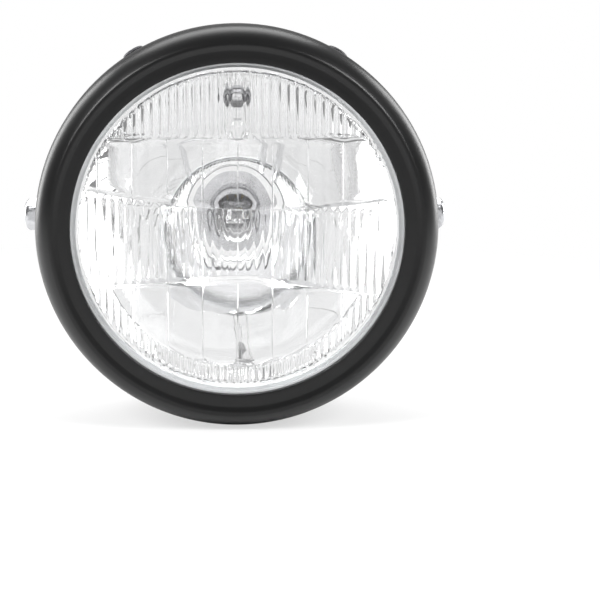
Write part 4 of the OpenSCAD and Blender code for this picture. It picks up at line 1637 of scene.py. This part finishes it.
@dataclass
class SideBolt:
    """A plated flange bolt on its rubber bush, on one side of the lamp."""

    side: int
    pad_x: float = 84.2
    bush_t: float = 5.4
    bush_r: float = 13.0
    flange_r: float = 8.95
    flats: float = 13.0
    root_r: float = 7.9
    head: float = 8.0
    shank_r: float = 3.95
    shank: float = 20.0
    segments: int = 96

    @property
    def name(self) -> str:
        """Left or right."""
        return side_name(self.side)

    def axis(self, out: float) -> Axis:
        """The bolt's axis, that far out of the pad's floor."""
        along = Vector((self.side, 0, 0))
        return Axis(along * (self.pad_x + out), along, Vector((0, 1, 0)))

    def build_bolt(self) -> None:
        """Makes the bolt, with its chamfered hexagon and its domed flange."""
        axis, flange, head = self.axis(self.bush_t), self.flange_r, self.head
        angles = [360 * k / self.segments for k in range(self.segments)]
        below = [
            (0.0, -self.shank), (self.shank_r - 0.5, -self.shank), (self.shank_r, -self.shank + 0.6),
            (self.shank_r, -0.02), (flange - 0.4, 0.0), (flange, 0.35), (flange - 0.05, 0.85),
            (flange - 0.6, 1.25),
        ]
        flanks = ((0.35, 2.0, 0.35), (0.0, 2.7, 1.0), (0.0, head - 2.2, 1.0))
        crown = ((6.9, 1.6), (6.3, 0.95), (5.6, 0.45), (4.7, 0.1), (4.2, 0.0), (3.8, 0.1), (2.6, 0.75),
                 (0.0, 0.9))
        rows = [[axis.point(r, h, a) for a in angles] for r, h in below]
        rows += [[axis.point(self.hexagon(a, drop, blend), h, a) for a in angles]
                 for drop, h, blend in flanks]
        rows += [[axis.point(min(r, self.hexagon(a, 0.0, 1.0)), head - h, a) for a in angles]
                 for r, h in crown]
        form = Form()
        form.grid(rows, False, True)
        bolt = form.object(f"side_bolt_{self.name}_forged", Finish.BRIGHT_ZINC, 24)
        settle(bolt, "zinc_steel", f"side_bolt_{self.name}")

    def hexagon(self, angle: float, drop: float, blend: float) -> float:
        """Radius of the hexagon at that angle.

        Args:
            angle: the angle in degrees.
            drop: how far its corners are drawn in.
            blend: 1 for the hexagon, less for a rounder form on the flange.

        Returns:
            The radius.
        """
        off = (angle + 30) % 60 - 30
        radius = self.flats / 2 / math.cos(math.radians(off))
        return blend * (radius - drop) + (1 - blend) * self.root_r

    def build_bush(self) -> None:
        """Makes the rubber bush under the bolt's flange."""
        r, t = self.bush_r, self.bush_t
        bush = turned(f"side_bush_{self.name}_moulded", Finish.RUBBER, [
            (4.3, 0.02), (r - 0.3, 0.02), (r, 0.4), (r, t - 0.8), (r - 0.3, t - 0.25), (r - 0.9, t),
            (9.6, t), (9.4, t - 0.12), (9.2, t - 0.02), (4.3, t - 0.02),
        ], self.axis(0), 96)
        settle(bush, "bush_black", f"side_bush_{self.name}")

    def build(self) -> None:
        """Makes the bolt and its bush and dresses the nut."""
        self.build_bolt()
        self.build_bush()
        dress(Finish.PLATED, f"side_nut_{self.name}")


@dataclass
class RimScrew:
    """A black cross-head screw on the bucket's skirt."""

    side: int
    axis: Axis
    head_r: float = 5.0
    head_h: float = 2.1
    shank_r: float = 2.45
    shank: float = 9.0
    cross: Point2 = (2.5, 0.5)
    cross_z: float = 0.95

    def build(self) -> None:
        """Makes the screw with its cross recess."""
        name, rim = side_name(self.side), 0.65
        screw = turned(f"rim_screw_{name}_headed", Finish.BLACK_SCREW, [
            (0, -self.shank), (self.shank_r - 0.4, -self.shank), (self.shank_r, -self.shank + 0.5),
            (self.shank_r, 0.2), (self.head_r - 0.15, 0.2), *dome(self.head_r, rim, self.head_h - rim, 12),
        ], self.axis, 64, SHARP, False)
        side, along = self.axis.side, self.axis.along
        up, (long, wide) = along.cross(side), self.cross
        cut(screw, [
            block("cross_cutter", Finish.BLACK_SCREW, (-long, long), (-wide, wide), (self.cross_z, 5),
                  placed(self.axis.origin, a, b, along)) for a, b in ((side, up), (up, side))
        ], Finish.BLACK_SCREW)
        settle(screw, "screw_black", f"rim_screw_{name}")
        dress(Finish.PLATED, f"rim_nut_{name}")
        dress(Finish.SPRING, f"rim_tab_{name}")


@dataclass
class Wiring:
    """The leads, the sleeve round three of them and the connector at the cable opening."""

    lead_r: float = 1.3
    sleeve_r: float = 5.0
    connector_w: float = 12.0
    connector_t: float = 8.0
    connector_len: float = 8.6
    connector_wall: float = 0.6
    connector_turn: float = 43.0
    connector_gap: float = 0.2
    chamber: float = 5.0

    LEADS = (
        ("lead_low", Finish.LEAD_WHITE, "lead_white", (
            (-7, 43.75, 3), (-7, 44.5, 3), (-5, 49, 4.5), (1, 52.5, 7), (9, 52, 9),
            (16, 47.5, 9.5), (20, 41.5, 9), (21, 38.4, 9.6), (21, 35.8, 11.2), (21, 33.1, 13.9),
        )),
        ("lead_high", Finish.LEAD_BLUE, "lead_blue", (
            (0, 43.75, -4), (0, 45, -4), (2.5, 50, -3.5), (9, 52.8, -1), (16.5, 50, 2),
            (21.5, 44.5, 4), (23.2, 39.6, 5), (23.2, 36.4, 6.4), (23.2, 33.8, 9), (23.2, 31, 11.8),
        )),
        ("lead_earth", Finish.LEAD_BLACK, "lead_black", (
            (7, 43.75, 3), (7, 44, 3), (8.6, 48, 3.5), (13.5, 49.6, 4.6), (20, 47, 6),
            (24.4, 42.4, 7.6), (25.4, 39, 9), (25.4, 35.8, 11.2), (25.4, 33.1, 13.9),
        )),
        ("lead_park", Finish.LEAD_BROWN, "lead_brown", (
            (1.8, -17.9, 70.5), (1.8, -15.2, 73.7), (2.2, -11, 77.6), (3, -5, 80.6), (4, 3, 81),
            (5.2, 11, 78.4), (6.8, 19, 73), (8.2, 26, 65.6), (9.8, 31.7, 59.9), (11.8, 35.6, 56.4),
            (14, 39.1, 53.8), (14, 41.6, 51.1),
        )),
        ("lead_park_earth", Finish.LEAD_BLACK, "lead_black", (
            (-1.8, -17.9, 70.5), (-1.8, -15.2, 73.7), (-1.4, -10.6, 77.6), (-0.6, -4, 80.2), (0.4, 4, 80.2),
            (1.6, 12, 77), (3.2, 19.5, 71.2), (4.9, 25.6, 65), (6.4, 31, 59.6), (8.2, 35.2, 56),
            (10.4, 39.1, 53.8), (10.4, 41.6, 51.1),
        )),
    )
    SLEEVE = (
        (23.2, 32.4, 13.2), (23.2, 29.6, 16), (22.2, 27.2, 20), (20, 26.4, 25.2), (17.5, 27.2, 30.2),
        (15, 29.6, 34.6), (13, 33.2, 38.4), (12, 37.9, 42), (12, 41.6, 45.45),
    )

    def lead(self, name: str, finish: Finish, slot: str, points: Sequence[Point3]) -> None:
        """Makes one lead along its route.

        Args:
            name: the CAD node that it stands for.
            finish: the colour of its insulation.
            slot: its material slot.
            points: its route in millimetres.
        """
        form = Form()
        Tube(self.lead_r, 14).add(form, smooth_path(points, 6))
        settle(form.object(f"{name}_drawn", finish, SMOOTH), slot, name)

    def connector_place(self) -> Matrix:
        """Places the connector.

        Returns:
            The matrix of its place, with Z along the sleeve's end.
        """
        turn = Matrix.Rotation(math.radians(self.connector_turn - 90), 4, "X")
        return Matrix.Translation(self.SLEEVE[-1]) @ turn @ Matrix.Translation((0, 0, self.connector_gap))

    def connector(self) -> None:
        """Makes the white connector with its four chambers and its latch."""
        place = self.connector_place()
        w, t, length = self.connector_w / 2, self.connector_t / 2, self.connector_len

        def part(x: Point2, y: Point2, z: Point2) -> Piece:
            """A block in the connector's frame."""
            return block("connector_block", Finish.WHITE_NYLON, x, y, z, place)

        body = part((-w, w), (-t, t), (0, length))
        soften(body, 0.35, 3)
        wall = self.connector_wall
        halves = [[(min(0, end) + wall, max(0, end) - wall) for end in (-size, size)] for size in (w, t)]
        tools = [part(x, y, (length - self.chamber, length + 1)) for x in halves[0] for y in halves[1]]
        tools += [part(x, (-0.7, 0.7), (1.2, 5)) for x in ((-w - 1, -w + 0.35), (w - 0.35, w + 1))]
        cut(body, tools, Finish.WHITE_NYLON)
        latch = part((-2.5, 2.5), (t - 0.02, t + 1.15), (2, 7))
        soften(latch, 0.3)
        join(body, latch)
        body.name = "harness_connector_moulded"
        shade(body, Finish.WHITE_NYLON, SHARP)
        settle(body, "plastic_white", "harness_connector")
        dress(Finish.BRASS, "connector_pins")

    def build(self) -> None:
        """Makes all the wiring."""
        for lead in self.LEADS:
            self.lead(*lead)
        form = Form()
        Tube(self.sleeve_r, 32).add(form, smooth_path(self.SLEEVE, 5))
        sleeve = form.object("harness_sleeve_drawn", Finish.SLEEVE, SMOOTH)
        soften(sleeve, 0.5, 3)
        shade(sleeve, Finish.SLEEVE, 40)
        settle(sleeve, "rubber_black", "harness_sleeve")
        self.connector()


@dataclass(frozen=True)
class Sheet:
    """A flat lamp or card, in metres: its power in watts as a lamp, its brightness as a card, whose glow is a
    painted reflection seen only through the glass.
    """

    name: str
    place: Point3
    aim: Point3
    size: Point2
    strength: float

    def hang(self, data: bpy.types.ID) -> Piece:
        """Puts a lamp or a mesh in the sheet's place, facing its aim.

        Args:
            data: the lamp or the mesh.

        Returns:
            The object.
        """
        obj = place_object(self.name, data)
        obj.location = self.place
        obj.rotation_euler = (Vector(self.place) - Vector(self.aim)).to_track_quat("Z", "Y").to_euler()
        return obj

    def lamp(self) -> None:
        """Hangs it as a soft lamp."""
        data = bpy.data.lights.new(self.name, "AREA")
        data.shape = "RECTANGLE"
        data.size, data.size_y = self.size
        data.energy = self.strength
        self.hang(data)

    def card(self) -> None:
        """Hangs it as a card that glows only for rays through the glass: a painted reflection or painted
        shade in the lens and the bowl, which lights nothing.
        """
        s = Shader(self.name)
        low, high = ((self.strength * k,) * 3 for k in (1.0, 1.25))
        cloud = s.mixed(s.noise(6.0), low, high)
        s.finish(s.node("ShaderNodeEmission", {}, {"Color": cloud, "Strength": 1.0}))
        card = self.hang(plate(self.name, self.size, 0.0, s.material))
        # hidden from the camera, the other surfaces and the shadows, so the card's glow is only a painted
        # reflection in the glass
        card.visible_camera = card.visible_diffuse = card.visible_glossy = card.visible_shadow = False


def plate(name: str, size: Point2, height: float, material: Material) -> Mesh:
    """A flat rectangle of mesh.

    Args:
        name: its name.
        size: its width and length in metres.
        height: the height that it lies at.
        material: its material.

    Returns:
        The mesh.
    """
    mesh = bpy.data.meshes.new(name)
    corners = ((-1, -1), (1, -1), (1, 1), (-1, 1))
    mesh.from_pydata([(x * size[0] / 2, y * size[1] / 2, height) for x, y in corners], [], [(0, 1, 2, 3)])
    mesh.materials.append(material)
    return mesh


@dataclass
class Studio:
    """The floor, the backdrop, the lamps and the camera."""

    elevation: float = 8.0
    azimuth: float = -1.3
    distance: float = 0.95
    lens: float = 120.95
    shift_right: float = 0.1093
    shift_down: float = 0.1487
    floor_z: float = -0.0905
    floor_size: float = 6.0
    sensor: float = 36.0
    near: float = 0.01
    around: float = 0.28
    glow: Point2 = (0.62, 1.0)
    glow_reach: Point2 = (0.12, 0.5)
    bounces: int = 28

    LAMPS = (
        Sheet("lamp_top", (-0.05, 0.5, 0.8), (0, -0.03, 0.05), (0.9, 0.4), 5.5),
        Sheet("lamp_left", (-0.7, 0.6, 0.25), (0, -0.03, 0), (0.3, 0.8), 5.0),
        Sheet("lamp_right", (0.7, 0.6, 0.2), (0, -0.03, 0), (0.3, 0.8), 5.0),
        Sheet("lamp_high_left", (-0.55, -0.45, 0.48), (0, -0.05, 0), (0.24, 0.4), 5.6),
        Sheet("lamp_high_right", (0.55, -0.45, 0.48), (0, -0.05, 0), (0.24, 0.4), 5.6),
    )
    # grey cards, and a brighter one in front, that only the glass sees: painted dark and bright reflections
    # in the lens and the bowl
    PAINTED_REFLECTION_CARDS = (
        Sheet("card_left", (-0.42, -0.75, 0.2), (0, -0.05, 0.2), (0.17, 0.6), 0.3),
        Sheet("card_right", (0.38, -0.75, 0.2), (0, -0.05, 0.2), (0.2, 0.6), 0.3),
        Sheet("card_far_left", (-0.9, -0.5, 0.2), (0, -0.05, 0.2), (0.3, 0.6), 0.3),
        Sheet("card_far_right", (0.9, -0.5, 0.2), (0, -0.05, 0.2), (0.3, 0.6), 0.3),
        *(Sheet(f"card_strip_{i}", (x, -0.5, 0.1), (x, 0, 0.1), (0.035, 0.5), 0.26)
          for i, x in enumerate((-0.4, -0.27, -0.15, 0.14, 0.25, 0.42))),
        # a grey strip on the floor before the lamp: painted floor shadow, seen through the lens as a dark arc
        Sheet("card_floor_shade", (0.0, -0.27, -0.088), (0, -0.27, 1.0), (1.2, 0.05), 0.4),
        Sheet("card_front", (0.0, -1.3, 0.44), (0, 0, 0.44), (1.1, 0.5), 2.0),
    )

    def camera(self) -> None:
        """Puts the camera at the photograph's place."""
        middle = (Vector(cad_box[0]) + Vector(cad_box[1])) / 2
        e, a = math.radians(self.elevation), math.radians(self.azimuth)
        back = Vector((math.sin(a) * math.cos(e), -math.cos(a) * math.cos(e), math.sin(e)))
        data = bpy.data.cameras.new("camera")
        data.lens, data.sensor_width, data.clip_start = self.lens, self.sensor, self.near
        data.shift_x, data.shift_y = self.shift_right, -self.shift_down
        camera = place_object("camera", data)
        camera.location = middle + back * self.distance
        camera.rotation_euler = back.to_track_quat("Z", "Y").to_euler()
        bpy.context.scene.camera = camera

    def world(self) -> None:
        """Gives a white backdrop and an even surrounding light."""
        s = Shader("studio", True)
        bpy.context.scene.world = s.material
        plain, white = (s.node("ShaderNodeBackground", {}, {"Color": (1.0, 1.0, 1.0), "Strength": strength})
                        for strength in (self.around, 1.0))
        s.finish(s.blend(s.seen(), plain, white), "ShaderNodeOutputWorld")

    def floor(self) -> None:
        """Adds the pale floor, which keeps the lamp's shadow and fades to white away from it."""
        s = Shader("floor_pale")
        tone = s.mixed(s.noise(3.0), (0.9, 0.9, 0.9), (0.93, 0.93, 0.93))
        matt = s.node("ShaderNodeBsdfDiffuse", {}, {"Color": tone})
        glow = s.node("ShaderNodeEmission", {}, {"Color": (1.0, 1.0, 1.0), "Strength": 1.0})
        length = s.node("ShaderNodeVectorMath", {"operation": "LENGTH"}, {0: s.place()})
        far = Value(s, length.outputs["Value"])
        share = self.glow[0] + far.stepped(*self.glow_reach) * (self.glow[1] - self.glow[0])
        s.finish(s.blend(s.seen(), matt, s.blend(share, matt, glow)))
        mesh = plate("floor", (self.floor_size, self.floor_size), self.floor_z, s.material)
        floor = place_object("floor", mesh)

    def build(self) -> None:
        """Makes the studio."""
        self.camera()
        self.world()
        self.floor()
        for sheet in self.LAMPS:
            sheet.lamp()
        for sheet in self.PAINTED_REFLECTION_CARDS:
            sheet.card()
        scene = bpy.context.scene
        scene.view_settings.view_transform = "Standard"
        scene.cycles.max_bounces = scene.cycles.transmission_bounces = self.bounces


@dataclass
class Sealing:
    """The gasket and the seal round the lens, and the spring steel that holds the ring and the reflector."""

    clips: int = 4

    def build(self) -> None:
        """Dresses these CAD pieces."""
        dress(Finish.SEALANT, "trim_gasket", "lens_seal")
        dress(Finish.SPRING, "rim_hook", *(f"retaining_clip_{i + 1}" for i in range(self.clips)))


def main() -> None:
    """Builds the studio and the lamp and logs each piece."""
    logging.basicConfig(level=logging.INFO, format="%(name)s: %(message)s")
    bucket, reflector = Bucket(), Reflector()
    fixings = [part for side in (-1, 1) for part in (SideBolt(side), RimScrew(side, bucket.screw_axis(side)))]
    for part in (
        Studio(), bucket, TrimRing(), Lens(), reflector, HeadBulb(reflector.seat, reflector.vertex),
        ParkBulb(reflector.park_axis()), *fixings, Wiring(), Sealing(),
    ):
        part.build()
        LOG.info("%s built", type(part).__name__)


if __name__ == "__main__":
    main()
